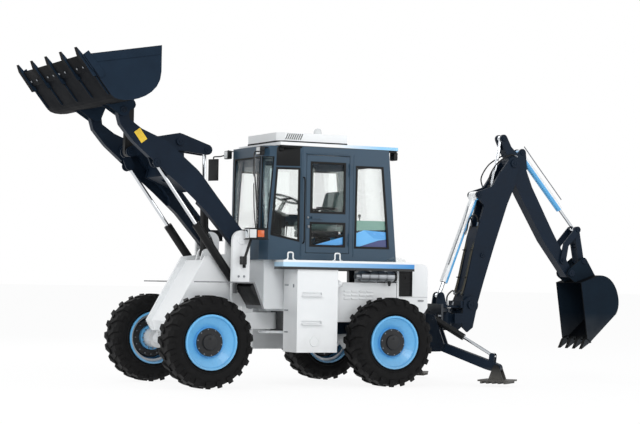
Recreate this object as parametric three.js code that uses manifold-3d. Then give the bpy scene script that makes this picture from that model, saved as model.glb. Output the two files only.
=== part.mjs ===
// Backhoe loader with centre-pivot steering, in millimetres.
// X runs forward to the loader bucket, Y to the machine's left and Z up. While the machine is drawn, X = 0 is
// the rear axle and Z = 0 the ground; the last lines centre the finished group over its bounding box.
import * as THREE from "three";
import Module from "manifold-3d";
import { mergeVertices } from "three/addons/utils/BufferGeometryUtils.js";

const wasm = await Module();
wasm.setup();

// ---------------------------------------------------------------- driving sizes
const wheelBase = 2400;
const track = 1730; // between the wheel centres
const tyreRadius = 537.5;
const tyreWidth = 380;
const rimRadius = 320;
const seatGap = 0.3; // between pieces that touch
const runningGap = 5; // between pieces that move past each other
const faceGap = 2; // beside an eye on its pin
const pinClearance = 0.2; // between a pin and its bore, where both are closest

const pivotX = wheelBase / 2; // steering pivot
const frontAxleX = wheelBase;

const railTop = 920;
const railBottom = 620;
const railInner = 370;
const railOuter = 430;

const cabHalfWidth = 600;
const cabBottom = 1505.3;
const cabTop = 2870;
const cabWall = 40;
const cabRearBottomX = -244;
const cabRearTopX = -123;
const cabCornerX = 1050; // where the side walls start to turn in
const cabShoulderX = 1450;
const cabShoulderY = 500;
const cabFrontX = 1530;
const cabFrontTopX = 1505;
const windscreenHalf = 400;
const doorRearX = 420;
const doorFrontX = 1000;
const doorBottom = 1600;
const doorTop = 2770;

const platformOuter = 820;
const platformInner = 460;
const platformFrontX = 1400;
const platformRearX = -380;
const platformHeight = 110;
const platformSkin = 25;

const tankFrontX = 1200;
const tankRearX = 660;
const tankOuter = 800;
const tankBottom = 410;

const armPivot = [1830, 1730];
const armInner = 400; // inner face of a loader arm
const armWidth = 100;
const armSkin = 12;
const armPin = 40; // radius
const innerPlate = 335; // inner face of the tower's inner plates
const innerPlateOuter = 372;
const liftY = 432; // middle of a lift cylinder
const outerPlate = armInner + armWidth + 15;
const outerPlateOuter = outerPlate + 50;
const towerRearX = 1722;

const liftEye = [2885, 2605];
const liftBase = [1800, 1150];
const bucketPin = [3330, 3190];
const bucketHalfWidth = 1085;
const bucketLinkPin = [3060, 3300];
const bellPivot = [2450, 2890];
const bellRear = [2085, 2810];
const bellFront = [3065, 2740];
const tiltBase = [2060, 1563];

const swingX = -1310;
const boomPin = [-1610, 990];
const boomCylinderLow = [-1215, 1097];
const boomCylinderTop = [-1740, 2411];
const stickPin = [-2260, 2835];
const dipperBase = [-1795, 1630];
const dipperTop = [-2130, 3160];
const bucketCylinderBase = [-2420, 2985];
const rockerPin = [-3060, 1590];
const rockerTop = [-3290, 2000];
const digPin = [-3170, 1423];
const digLinkPin = [-3370, 1581];
const boomHalf = 115;
const boomSkin = 30;
const stickHalf = 75;
const digEar = [108, 130]; // faces of the digging bucket's ears
const digHalfWidth = 295;

const stabiliserAngle = 50; // degrees outward from straight back
const stabiliserHinge = [-980, 500, 470];
const legReach = 723; // level distance from the hinge to the foot's pin
const legDrop = 244;
const legHalf = 55;

// ---------------------------------------------------------------- colours
const paint = (color, roughness = 0.4, metalness = 0.1) =>
  new THREE.MeshStandardMaterial({ color, roughness, metalness });
const materials = {
  white: paint("#e9ebec", 0.35),
  slate: paint("#232c38", 0.42),
  cab: paint("#46546a", 0.4),
  blue: paint("#4a9ad2", 0.35),
  rubber: paint("#17181a", 0.85, 0),
  black: paint("#15171a", 0.6),
  grey: paint("#6f7276", 0.55),
  chrome: paint("#d7dade", 0.15, 1),
  seat: paint("#2b4a48", 0.8, 0),
  silver: paint("#a6abb0", 0.4, 0.7),
};

// ---------------------------------------------------------------- solids
function solid(geometry) {
  const bare = geometry.clone();
  bare.deleteAttribute("normal");
  bare.deleteAttribute("uv");
  const merged = mergeVertices(bare, 1e-3);
  return new wasm.Manifold(
    new wasm.Mesh({
      numProp: 3,
      vertProperties: new Float32Array(merged.attributes.position.array),
      triVerts: new Uint32Array(merged.index.array),
    }),
  );
}

const join = (...parts) => parts.flat(3).reduce((sum, part) => sum.add(part));
const cut = (body, ...tools) => tools.flat(3).reduce((rest, tool) => rest.subtract(tool), body);
const mirrorY = (part) => part.mirror([0, 1, 0]);
const bothSides = (part) => [part, mirrorY(part)];

function box(x0, x1, y0, y1, z0, z1) {
  const geometry = new THREE.BoxGeometry(x1 - x0, y1 - y0, z1 - z0);
  geometry.translate((x0 + x1) / 2, (y0 + y1) / 2, (z0 + z1) / 2);
  return solid(geometry);
}

function toShape(outline) {
  if (outline instanceof THREE.Shape) return outline;
  return new THREE.Shape(outline.map(([a, b]) => new THREE.Vector2(a, b)));
}

// A side outline of [x, z] points, as thick as from y0 to y1.
function sidePlate(outline, y0, y1, curveSegments = 8) {
  const geometry = new THREE.ExtrudeGeometry(toShape(outline), {
    depth: y1 - y0,
    bevelEnabled: false,
    curveSegments,
  });
  geometry.rotateX(Math.PI / 2);
  geometry.translate(0, y1, 0);
  return solid(geometry);
}

// A plan outline of [x, y] points, as thick as from z0 to z1.
function flatPlate(outline, z0, z1) {
  const geometry = new THREE.ExtrudeGeometry(toShape(outline), { depth: z1 - z0, bevelEnabled: false });
  geometry.translate(0, 0, z0);
  return solid(geometry);
}

// A pin or tube across the machine at the side-view point [x, z].
function crossTube([x, z], radius, y0, y1, sides = 16) {
  const geometry = new THREE.CylinderGeometry(radius, radius, y1 - y0, sides);
  geometry.translate(x, (y0 + y1) / 2, z);
  return solid(geometry);
}

function uprightTube([x, y], radius, z0, z1, sides = 20) {
  const geometry = new THREE.CylinderGeometry(radius, radius, z1 - z0, sides);
  geometry.rotateX(Math.PI / 2);
  geometry.translate(x, y, (z0 + z1) / 2);
  return solid(geometry);
}

// A round bar from one [x, y, z] point to another.
function bar(from, to, radius, sides = 12) {
  const a = new THREE.Vector3(...from);
  const b = new THREE.Vector3(...to);
  const along = b.clone().sub(a);
  const geometry = new THREE.CylinderGeometry(radius, radius, along.length(), sides);
  geometry.applyQuaternion(
    new THREE.Quaternion().setFromUnitVectors(new THREE.Vector3(0, 1, 0), along.clone().normalize()),
  );
  geometry.translate(...a.add(b).multiplyScalar(0.5).toArray());
  return solid(geometry);
}

// The outline that a belt round the circles [x, z, radius] would take.
function beltOutline(circles, steps = 12) {
  const points = circles.flatMap(([x, z, radius]) =>
    Array.from({ length: radius ? steps : 1 }, (_, i) => {
      const a = (2 * Math.PI * i) / steps;
      return [x + radius * Math.cos(a), z + radius * Math.sin(a)];
    }),
  );
  points.sort((p, q) => p[0] - q[0] || p[1] - q[1]);
  const half = (list) => {
    const hull = [];
    for (const p of list) {
      while (hull.length > 1) {
        const [o, a] = hull.slice(-2);
        if ((a[0] - o[0]) * (p[1] - o[1]) - (a[1] - o[1]) * (p[0] - o[0]) > 1e-6) break;
        hull.pop();
      }
      hull.push(p);
    }
    return hull.slice(0, -1);
  };
  return [...half(points), ...half(points.slice().reverse())];
}

const belt = (circles, y0, y1, steps) => sidePlate(beltOutline(circles, steps), y0, y1);

// A bent beam: one belt after another along a list of circles.
function bentBeam(circles, y0, y1, steps) {
  return join(circles.slice(1).map((circle, i) => belt([circles[i], circle], y0, y1, steps)));
}

// The bore's flat facets stay clear of a pin's corners however the pin is turned.
const boreRadius = (pin, sides = 16) => (pin + pinClearance) / Math.cos(Math.PI / sides);
const bore = (point, pin, y0, y1) => crossTube(point, boreRadius(pin), y0 - 1, y1 + 1);

function spin(profile, sides) {
  const geometry = new THREE.LatheGeometry(profile.map(([r, y]) => new THREE.Vector2(r, y)), sides);
  return solid(geometry);
}

const towards = ([ax, az], [bx, bz], distance) => {
  const length = Math.hypot(bx - ax, bz - az);
  return [ax + ((bx - ax) / length) * distance, az + ((bz - az) / length) * distance];
};

// ---------------------------------------------------------------- bodies
// Each moving body is a group that stands at its own pivot. A piece is drawn where it lies on the machine,
// then shifted so that its own zero is that pivot.
const machine = new THREE.Group();
machine.name = "backhoe_loader";
machine.userData.pivot = [0, 0, 0];

function body(parent, name, pivot) {
  const group = new THREE.Group();
  group.name = name;
  group.userData.pivot = pivot;
  group.position.set(...pivot.map((value, i) => value - parent.userData.pivot[i]));
  parent.add(group);
  return group;
}

function piece(group, name, part, material) {
  const mesh = part.translate(group.userData.pivot.map((value) => -value)).getMesh();
  const geometry = new THREE.BufferGeometry();
  geometry.setAttribute("position", new THREE.BufferAttribute(mesh.vertProperties, 3));
  geometry.setIndex(new THREE.BufferAttribute(mesh.triVerts, 1));
  const result = new THREE.Mesh(geometry, material);
  result.name = name;
  group.add(result);
}

const sides = [
  ["left", 1],
  ["right", -1],
];
const onSide = (part, sign) => (sign > 0 ? part : mirrorY(part));

// ---------------------------------------------------------------- hydraulic cylinders
const boreShare = 0.62; // of the barrel's radius
const pistonGap = 0.5;
const pistonLength = 24;
// The barrel turns on its base pin and stops at the gland; the rod ends in an eye that is left open.
function barrel(base, eye, length, radius, y, eyeWidth, pinRadius) {
  const [gx, gz] = towards(base, eye, length);
  const [sx, sz] = towards(base, eye, radius * 0.6);
  const lug = belt([[...base, radius * 0.9], [sx, sz, radius * 0.8]], y - eyeWidth / 2, y + eyeWidth / 2, 16);
  const tube = bar([sx, y, sz], [gx, y, gz], radius, 16);
  const [bx, bz] = towards(base, eye, radius);
  const hollow = bar([bx, y, bz], [gx + (gx - bx), y, gz + (gz - bz)], radius * boreShare + pistonGap, 12);
  const width = Math.max(radius, eyeWidth / 2) + 1;
  return cut(join(lug, tube), hollow, bore(base, pinRadius, y - width, y + width));
}

function rod(base, eye, from, barrelRadius, y, eyeWidth) {
  const radius = barrelRadius * 0.46;
  const [fx, fz] = towards(base, eye, from);
  const [px, pz] = towards(base, eye, from + pistonLength);
  const shaft = bar([fx, y, fz], [eye[0], y, eye[1]], radius, 12);
  const piston = bar([fx, y, fz], [px, y, pz], barrelRadius * boreShare, 12);
  return join(shaft, piston, crossTube(eye, barrelRadius * 0.8, y - eyeWidth / 2, y + eyeWidth / 2, 16));
}

// ---------------------------------------------------------------- wheels
const wheelSides = 32;
function tyre(x, sign) {
  const inner = rimRadius + seatGap;
  const half = tyreWidth / 2;
  const profile = [
    [inner, -half * 0.82],
    [tyreRadius * 0.78, -half],
    [tyreRadius * 0.95, -half * 0.93],
    [tyreRadius, -half * 0.72],
    [tyreRadius, half * 0.72],
    [tyreRadius * 0.95, half * 0.93],
    [tyreRadius * 0.78, half],
    [inner, half * 0.82],
    [inner, -half * 0.82],
  ];
  return spin(profile, wheelSides).translate([x, (sign * track) / 2, tyreRadius]);
}

const hubBore = 70;
const hubFace = 100; // outward of the wheel's middle
function rim(x, sign) {
  const half = tyreWidth / 2;
  const profile = [
    [hubBore, -95],
    [150, -95],
    [155, 30],
    [rimRadius - 40, 30],
    [rimRadius - 22, -half * 0.9],
    [rimRadius, -half * 0.9],
    [rimRadius, half * 0.93],
    [rimRadius - 22, half * 0.93],
    [rimRadius - 34, half - 40],
    [172, 70],
    [165, hubFace],
    [hubBore, hubFace],
    [hubBore, -95],
  ];
  const wheel = spin(profile, wheelSides);
  return (sign > 0 ? wheel : wheel.mirror([0, 1, 0])).translate([x, (sign * track) / 2, tyreRadius]);
}

function axle(x, seat) {
  const hubEnd = track / 2 + hubFace - 4;
  const spindle = hubBore * Math.cos(Math.PI / wheelSides) - pinClearance;
  return join(
    crossTube([x, tyreRadius], 75, -560, 560, 20),
    crossTube([x, tyreRadius], spindle, -hubEnd, hubEnd, wheelSides),
    crossTube([x, tyreRadius], 150, -110, 110, 20),
    bothSides(crossTube([x, tyreRadius], 120, 560, track / 2 - 95 - runningGap, 20)),
    bothSides(box(x - 90, x + 90, railInner - 10, railOuter, tyreRadius + 20, seat - seatGap)),
  );
}

function addWheels(parent, x, where) {
  for (const [side, sign] of sides) {
    const wheel = body(parent, `${where}_wheel_${side}`, [x, (sign * track) / 2, tyreRadius]);
    piece(wheel, `${where}_tyre_${side}`, tyre(x, sign), materials.rubber);
    piece(wheel, `${where}_rim_${side}`, rim(x, sign), materials.blue);
  }
}

// ---------------------------------------------------------------- rear frame
const lugThickness = 30;
const tongueGap = 20;
const tongueBottom = railBottom + lugThickness + tongueGap;
const tongueTop = railTop - lugThickness - tongueGap;
const kingUpper = [895, 945]; // lug plates that hold the swing post
const kingLower = [680, 730];
const bulkheadX = -1000;
const engineBottom = 696;
const cabPost = { x0: -190, x1: -110 };

const legDirection = [
  -Math.cos((stabiliserAngle * Math.PI) / 180),
  Math.sin((stabiliserAngle * Math.PI) / 180),
];
// Puts a side view of the stabiliser, with its x as distance along the leg's level direction, on the machine.
function onLeg(part) {
  const turn = 180 - stabiliserAngle;
  return part.rotate([0, 0, turn]).translate([stabiliserHinge[0], stabiliserHinge[1], 0]);
}
const legHinge = [0, stabiliserHinge[2]];
const footPin = [legReach, stabiliserHinge[2] - legDrop];
const legCylinderBase = [-120, 820];
const legCylinderEye = [legReach - 60, stabiliserHinge[2] - legDrop + 150];
const bracketInner = legHalf + runningGap;
const bracketOuter = bracketInner + 22;

function stabiliserBracket() {
  const outline = beltOutline([
    [-210, 860, 20],
    [-210, 420, 20],
    [...legHinge, 60],
    [...legCylinderBase, 50],
  ]);
  return onLeg(
    join(
      sidePlate(outline, bracketInner, bracketOuter),
      sidePlate(outline, -bracketOuter, -bracketInner),
      box(-230, -205, -bracketOuter, bracketOuter, 410, 860),
      crossTube(legHinge, 28, -bracketOuter - 8, bracketOuter + 8),
      crossTube(legCylinderBase, 22, -bracketOuter - 8, bracketOuter + 8),
    ),
  );
}

// A plate that tapers from the frame to a round end about an upright pin.
function lugPlate(fromX, halfWidth, pivot, radius, z0, z1) {
  const taper = [
    [fromX, -halfWidth],
    [pivot, -radius],
    [pivot, radius],
    [fromX, halfWidth],
  ];
  const outline = pivot > fromX ? taper : taper.reverse();
  return join(flatPlate(outline, z0, z1), uprightTube([pivot, 0], radius, z0, z1));
}

function rearFrame() {
  const rails = cut(
    join(bothSides(box(bulkheadX - 1, 1000, railInner, railOuter, railBottom, railTop))),
    bothSides(box(bulkheadX, -775, railInner - 1, railOuter + 1, 705, railTop + 1)),
  );
  const memberTop = engineBottom - seatGap;
  const crossMember = (x) => box(x - 50, x + 50, -railInner - 5, railInner + 5, railBottom, memberTop);
  const nose = [
    lugPlate(960, railOuter, pivotX, 110, railBottom, railBottom + lugThickness),
    lugPlate(960, railOuter, pivotX, 110, railTop - lugThickness, railTop),
    uprightTube([pivotX, 0], 35, railBottom, railTop),
    box(960, 990, -railOuter, railOuter, railBottom, railTop),
  ];
  const rear = [
    box(bulkheadX - 30, bulkheadX, -railOuter, railOuter, 420, 1000),
    lugPlate(bulkheadX - 25, 230, swingX, 85, ...kingUpper),
    lugPlate(bulkheadX - 25, 230, swingX, 85, ...kingLower),
  ];
  const frontBox = box(1110, 1445, -380, 380, railTop - 1, cabBottom - seatGap);
  const cabPosts = bothSides(
    box(cabPost.x0, cabPost.x1, railInner, railOuter, railTop - 1, cabBottom - seatGap),
  );
  const frame = join(rails, crossMember(-450), crossMember(200), nose, rear, frontBox, cabPosts);
  const swingBores = [uprightTube([swingX, 0], boreRadius(32, 20), 600, 1000)];
  return join(
    cut(frame, swingBores),
    stabiliserBracket(),
    mirrorY(stabiliserBracket()),
    bothSides(box(-828, -774, railInner + 5, 425, 430, railBottom + 5)),
  );
}

function engine() {
  return join(
    box(-560, 330, -250, 250, engineBottom, 1130),
    box(-420, 120, -180, 180, 1130 - 1, 1225),
  );
}

const hoodSkin = 12;
function rearHood() {
  const outline = (inset) => {
    const shape = new THREE.Shape();
    shape.moveTo(590 + inset * 4, 770 - inset * 4);
    shape.lineTo(590 + inset * 4, 1250 - inset);
    shape.lineTo(-262 - inset, 1250 - inset);
    shape.lineTo(-262 - inset, 1490 - inset);
    shape.lineTo(-600, 1490 - inset);
    shape.quadraticCurveTo(-700 + inset, 1490 - inset, -700 + inset, 1390);
    shape.lineTo(-700 + inset, 950 - inset * 4);
    shape.lineTo(-560, 770 - inset * 4);
    return shape;
  };
  const shell = cut(
    sidePlate(outline(0), -600, 600),
    sidePlate(outline(hoodSkin), -600 + hoodSkin, 600 - hoodSkin),
  );
  const vent = box(-480, -290, 560, 640, 1090, 1400);
  const railSeats = bothSides(box(-560, 560, railOuter + seatGap, 590, 790, 815));
  const postHoleX = [cabPost.x0 - runningGap, cabPost.x1 + runningGap];
  const postHoles = bothSides(box(...postHoleX, railInner - runningGap, railOuter + runningGap, 1200, 1300));
  return join(cut(shell, bothSides(vent), postHoles), railSeats);
}

function platform() {
  const top = cabBottom - seatGap;
  const bottom = top - platformHeight;
  const plan = [
    [platformRearX, platformInner],
    [platformFrontX - 55, platformInner],
    [platformFrontX - 55, platformOuter - 80],
    [platformFrontX, platformOuter],
    [platformRearX, platformOuter],
  ];
  const slab = flatPlate(plan, bottom, top);
  const underY = [platformInner + 40, platformOuter - 60];
  const under = box(platformRearX + 40, platformFrontX - 95, ...underY, bottom - 1, top - platformSkin);
  const clearHood = box(platformRearX - 1, -255, platformInner - 1, 600 + seatGap, bottom - 1, top + 1);
  return cut(slab, under, clearHood);
}

function tank() {
  const top = cabBottom - seatGap - platformHeight - seatGap;
  const shell = box(tankRearX, tankFrontX, railOuter + seatGap, tankOuter, tankBottom, top);
  const steps = [1085, 750].map((z) => box(875, 1140, tankOuter - 130, tankOuter + 1, z, z + 35));
  return cut(shell, steps);
}

function airCleaner() {
  const top = cabBottom - seatGap - platformSkin;
  const x0 = -165;
  const x1 = 293;
  const [y, z] = [660, 1330];
  return join(
    bar([x0, y, z], [x1, y, z], 62, 24),
    bar([x1 - 1, y, z], [x1 + 60, y, z], 38, 16),
    [x0 + 110, x1 - 130].map((x) => box(x - 20, x + 20, y - 30, y + 30, z, top - seatGap)),
  );
}

// ---------------------------------------------------------------- cab
const cabPlan = (inset) => [
  [-400 + inset, -(cabHalfWidth - inset)],
  [cabCornerX, -(cabHalfWidth - inset)],
  [cabShoulderX - inset * 0.5, -(cabShoulderY - inset)],
  [cabFrontX - inset, -(windscreenHalf - inset * 0.4)],
  [cabFrontX - inset, windscreenHalf - inset * 0.4],
  [cabShoulderX - inset * 0.5, cabShoulderY - inset],
  [cabCornerX, cabHalfWidth - inset],
  [-400 + inset, cabHalfWidth - inset],
];

function cabSolid(inset) {
  const profile = [
    [cabRearBottomX + inset, cabBottom + inset],
    [cabFrontX - inset, cabBottom + inset],
    [cabFrontTopX - inset, cabTop - inset],
    [cabRearTopX + inset, cabTop - inset],
  ];
  const height = sidePlate(profile, -700, 700);
  return flatPlate(cabPlan(inset), cabBottom + inset, cabTop - inset).intersect(height);
}

const doorFit = 6;
const hinge = { radius: 12, length: 50, gap: 0.5, heights: [1740, 2580] };
const hingeX = doorRearX - doorFit / 2;
const hingeY = cabHalfWidth + hinge.radius;

// One leaf of a hinge with its knuckle, towards x = end.
function hingeLeaf(z, end) {
  const top = z + hinge.length;
  return join(
    uprightTube([hingeX, hingeY], hinge.radius, z, top, 8),
    box(Math.min(hingeX, end), Math.max(hingeX, end), cabHalfWidth - 1, cabHalfWidth + 6, z, top),
  );
}
const rearQuarterZ = { bottom: 1670, top: 2660 };
const screen = { bottom: 1860, top: 2740 };

function cabFrame() {
  const shell = cut(cabSolid(0), cabSolid(cabWall));
  const doorway = box(
    doorRearX - doorFit,
    doorFrontX + doorFit,
    -700,
    700,
    doorBottom - doorFit,
    doorTop + doorFit,
  );
  const rearQuarter = sidePlate(
    [
      [-140, rearQuarterZ.bottom],
      [340, rearQuarterZ.bottom],
      [330, rearQuarterZ.top],
      [-45, rearQuarterZ.top],
    ],
    -700,
    700,
  );
  const frontQuarter = sidePlate(
    [
      [1085, 1730],
      [1430, 1805],
      [1370, 2610],
      [1085, 2610],
    ],
    -700,
    700,
  );
  const cornerGlass = cut(
    sidePlate(
      [
        [1457, screen.bottom],
        [cabFrontX + 10, screen.bottom],
        [cabFrontX + 10, screen.top],
        [1392, screen.top],
      ],
      -700,
      700,
    ),
    box(0, 2000, -windscreenHalf - 10, windscreenHalf + 10, 1800, 2800),
  );
  const screenHalf = windscreenHalf - 30;
  const windscreen = box(cabFrontX - 90, cabFrontX + 50, -screenHalf, screenHalf, screen.bottom, screen.top);
  const rearWindow = box(-400, 0, -460, 460, 1900, 2700);
  const step = hinge.length + hinge.gap;
  const feet = hinge.heights.flatMap((z) => [z - step, z + step]);
  const leaves = feet.map((foot) => hingeLeaf(foot, hingeX - 37));
  return join(
    cut(shell, doorway, rearQuarter, frontQuarter, cornerGlass, windscreen, rearWindow),
    bothSides(join(leaves)),
  );
}

function cabRoof() {
  const z0 = cabTop + seatGap;
  const rim = flatPlate(
    [
      [-250, -600],
      [1355, -600],
      [1355, 600],
      [-250, 600],
    ],
    z0,
    z0 + 45,
  );
  const cap = flatPlate(
    [
      [400, -480],
      [1240, -480],
      [1320, -400],
      [1320, 400],
      [1240, 480],
      [400, 480],
    ],
    z0 + 44,
    z0 + 170,
  );
  return join(rim, cap);
}

function door() {
  const y0 = cabHalfWidth - 36;
  const y1 = cabHalfWidth;
  const panel = box(doorRearX, doorFrontX, y0, y1, doorBottom, doorTop);
  const upper = box(doorRearX + 55, doorFrontX - 55, y0 - 1, y1 + 1, 2080, doorTop - 80);
  const lower = box(doorRearX + 55, doorFrontX - 55, y0 - 1, y1 + 1, doorBottom + 75, 1965);
  const handle = join(
    box(doorFrontX - 200, doorFrontX - 60, y1 + 30, y1 + 42, 2010, 2030),
    box(doorFrontX - 90, doorFrontX - 60, y1 - 1, y1 + 31, 2008, 2032),
    box(doorFrontX - 200, doorFrontX - 170, y1 - 1, y1 + 31, 2008, 2032),
  );
  const leaves = hinge.heights.map((z) => hingeLeaf(z, hingeX + 37));
  return join(cut(panel, upper, lower), handle, leaves);
}

function operatorSeat() {
  const floor = cabBottom + cabWall;
  return join(
    box(370, 690, -190, 190, floor + seatGap, floor + 330),
    box(330, 830, -250, 250, floor + 329, floor + 450),
    sidePlate(
      [
        [200, 2430],
        [330, 2430],
        [460, floor + 440],
        [330, floor + 440],
      ],
      -240,
      240,
    ),
  );
}

function steeringColumn() {
  const floor = cabBottom + cabWall;
  const centre = [985, 0, 2262];
  const ring = new THREE.TorusGeometry(165, 14, 6, 18);
  ring.rotateY((-18 * Math.PI) / 180);
  ring.translate(...centre);
  const spokes = join(
    box(centre[0] - 12, centre[0] + 12, -165, 165, centre[2] - 10, centre[2] + 10),
    bar([centre[0], 0, centre[2]], [centre[0] + 110, 0, 2070], 24, 12),
  );
  return join(
    solid(ring),
    spokes,
    sidePlate(
      [
        [1020, floor + seatGap],
        [1330, floor + seatGap],
        [1300, 1760],
        [1190, 2110],
        [1050, 2080],
        [1060, 1700],
      ],
      -140,
      140,
    ),
  );
}

// ---------------------------------------------------------------- front frame
const earRadius = 112;
const frontSeat = railBottom; // underside of the pads that rest on the front axle
function frontFrame() {
  const frameBottom = frontSeat + 20;
  const plate = (y0, y1) =>
    join(
      sidePlate(
        [
          [towerRearX, frameBottom],
          [2580, frameBottom],
          [2650, 760],
          [2210, 1530],
          [1980, 1560],
          [towerRearX, 1560],
        ],
        y0,
        y1,
      ),
      belt([[...armPivot, earRadius], [1834, 1500, earRadius]], y0, y1, 24),
    );
  const outer = belt([[...armPivot, earRadius], [1834, 1060, earRadius]], outerPlate, outerPlateOuter, 24);
  const frontPlate = sidePlate(
    [
      [2548, frameBottom],
      [2585, 760],
      [2150, 1490],
      [2126, 1476],
      [2557, 763],
      [2522, frameBottom],
    ],
    -innerPlate - 5,
    innerPlate + 5,
  );
  const top = box(towerRearX, 2180, -innerPlate - 5, innerPlate + 5, 1395, 1420);
  const rearPlate = box(towerRearX, towerRearX + 20, -outerPlateOuter + 5, outerPlateOuter - 5, 1000, 1440);
  const rearLower = box(towerRearX, towerRearX + 30, -innerPlateOuter, innerPlateOuter, frameBottom, 1001);
  const seatTop = frameBottom + 30;
  const floorPlate = [
    box(towerRearX, 2140, -innerPlate - 5, innerPlate + 5, frameBottom, seatTop),
    bothSides(box(frontAxleX - 90, frontAxleX + 90, 170, innerPlateOuter + 40, frontSeat, seatTop)),
  ];
  const tongue = join(
    box(pivotX, towerRearX + 10, -100, 100, tongueBottom, tongueTop),
    uprightTube([pivotX, 0], 100, tongueBottom, tongueTop),
  );
  const tiltLug = belt([[...tiltBase, 62], [1980, 1400, 20], [2150, 1400, 20]], 55, 80);
  const pins = [
    bothSides(crossTube(armPivot, armPin, innerPlate, outerPlateOuter + 12)),
    bothSides(crossTube(liftBase, 30, innerPlate, outerPlateOuter)),
    crossTube(tiltBase, 28, -85, 85),
  ];
  const frame = join(
    bothSides(plate(innerPlate, innerPlateOuter)),
    bothSides(outer),
    frontPlate,
    top,
    rearPlate,
    rearLower,
    floorPlate,
    tongue,
    bothSides(tiltLug),
    pins,
  );
  return cut(frame, uprightTube([pivotX, 0], boreRadius(35, 20), 500, 1000));
}

function fender() {
  const y0 = outerPlateOuter + seatGap;
  const y1 = 1000;
  const top = 1236;
  const sheet = 14;
  return join(
    sidePlate(
      [
        [2430, top - sheet],
        [1870, top - sheet],
        [1750, 925],
        [1730, 925],
        [1730, 935],
        [1852, top],
        [2430, top],
      ],
      y0,
      y1,
    ),
    box(1900, 1930, y0, y0 + 45, 1100, top - sheet + 1),
  );
}

function headlight() {
  const y0 = outerPlateOuter + seatGap;
  return join(
    box(1560, 1800, 590, 720, 1742, 1868),
    bar([1740, 640, 1750], [1825, 640, 1500], 16, 12),
    box(1800, 1850, y0, 655, 1440, 1535),
  );
}

// ---------------------------------------------------------------- loader
function loaderArms() {
  const y0 = armInner;
  const y1 = armInner + armWidth;
  const run = [
    [...armPivot, 105],
    [2180, 2130, 112],
    [2460, 2420, 145],
    [2850, 2735, 145],
    [3135, 2905, 92],
    [3300, 3052, 62],
    [...bucketPin, 72],
  ];
  const eyePocket = belt(
    [
      [...liftEye, 112],
      [liftEye[0] - 78, liftEye[1] + 78, 62],
      [liftEye[0] - 420, liftEye[1] - 420, 115],
      [liftEye[0] - 120, liftEye[1] - 520, 115],
    ],
    y0 - 1,
    y1 - armSkin,
  );
  const arm = cut(
    join(bentBeam(run, y0, y1), belt([[...liftEye, 62], [2850, 2735, 60]], y0, y1)),
    eyePocket,
    bore(armPivot, armPin, y0, y1),
    bore(bucketPin, 32, y0, y1),
  );
  const innerLug = belt([[...liftEye, 56], [2975, 2800, 45]], innerPlateOuter + 8, y0 + 1);
  // The tower's inner plates reach into these slots when the arms are down.
  const slot = sidePlate(
    [
      [2000, 2180],
      [2848, 2704],
      [2848, 2200],
      [2000, 2000],
    ],
    innerPlate - 8,
    innerPlateOuter + 8,
  );
  const crossBox = cut(
    sidePlate(
      [
        [2290, 2300],
        [2680, 2470],
        [2640, 2660],
        [2240, 2430],
      ],
      -y0 - 4,
      y0 + 4,
    ),
    bothSides(slot),
  );
  const bracket = belt([[...bellPivot, 70], [2400, 2440, 30], [2580, 2440, 30]], 45, 70);
  const crossPin = crossTube(bellPivot, 32, -118, 118);
  return join(bothSides(join(arm, innerLug)), crossBox, bothSides(bracket), crossPin);
}

function bellcrank() {
  const plate = bentBeam(
    [
      [...bellRear, 62],
      [...bellPivot, 105],
      [2760, 2850, 85],
      [...bellFront, 60],
    ],
    78,
    104,
  );
  const web = box(2700, 2820, -80, 80, 2860, 2885);
  return cut(join(bothSides(plate), web), bore(bellPivot, 32, -110, 110));
}

function bucketLink() {
  return cut(
    belt([[...bellFront, 52], [...bucketLinkPin, 50]], -36, 36),
    bore(bucketLinkPin, 26, -36, 36),
  );
}

const edge = [4040, 3720];
const floorDirection = [0.626, 0.78]; // from the heel to the cutting edge
function bucketOutline(inset) {
  const shape = new THREE.Shape();
  shape.moveTo(edge[0] + (inset ? 60 : 0), edge[1] + (inset ? 120 : 0));
  shape.lineTo(3695 - inset * 0.6, 3290 + inset * 1.4);
  shape.bezierCurveTo(3610 - inset * 0.4, 3180 + inset, 3100 + inset, 3250 + inset, 3100 + inset, 3590);
  shape.lineTo(3100 + inset, 3890 + (inset ? 60 : 0));
  return shape;
}

function loaderBucket() {
  const half = bucketHalfWidth;
  const inside = sidePlate(bucketOutline(22), -half + 25, half - 25, 10);
  const shell = cut(sidePlate(bucketOutline(0), -half, half, 10), inside);
  const [ux, uz] = floorDirection;
  const along = ([s, t]) => [edge[0] + ux * s - uz * t, edge[1] + uz * s + ux * t];
  const toothOutline = [
    [-290, 8],
    [-265, -42],
    [20, -32],
    [105, -2],
    [5, 8],
  ].map(along);
  const teeth = [-1, -0.5, 0, 0.5, 1].map((share) => {
    const y = share * (half - 60);
    return sidePlate(toothOutline, y - 42, y + 42);
  });
  const armLugs = [armInner - 30, armInner + armWidth + 8].map((y) =>
    belt([[...bucketPin, 74], [3190, 3400, 20], [3560, 3262, 14]], y, y + 22),
  );
  const linkLugs = [-70, 46].map((y) =>
    belt([[...bucketLinkPin, 58], [3120, 3470, 15], [3330, 3310, 15]], y, y + 24),
  );
  const pins = [
    bothSides(crossTube(bucketPin, 32, armInner - 30, armInner + armWidth + 30)),
    crossTube(bucketLinkPin, 26, -70, 70),
  ];
  return join(shell, teeth, cut(join(bothSides(join(armLugs)), linkLugs), inside), pins);
}

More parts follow.
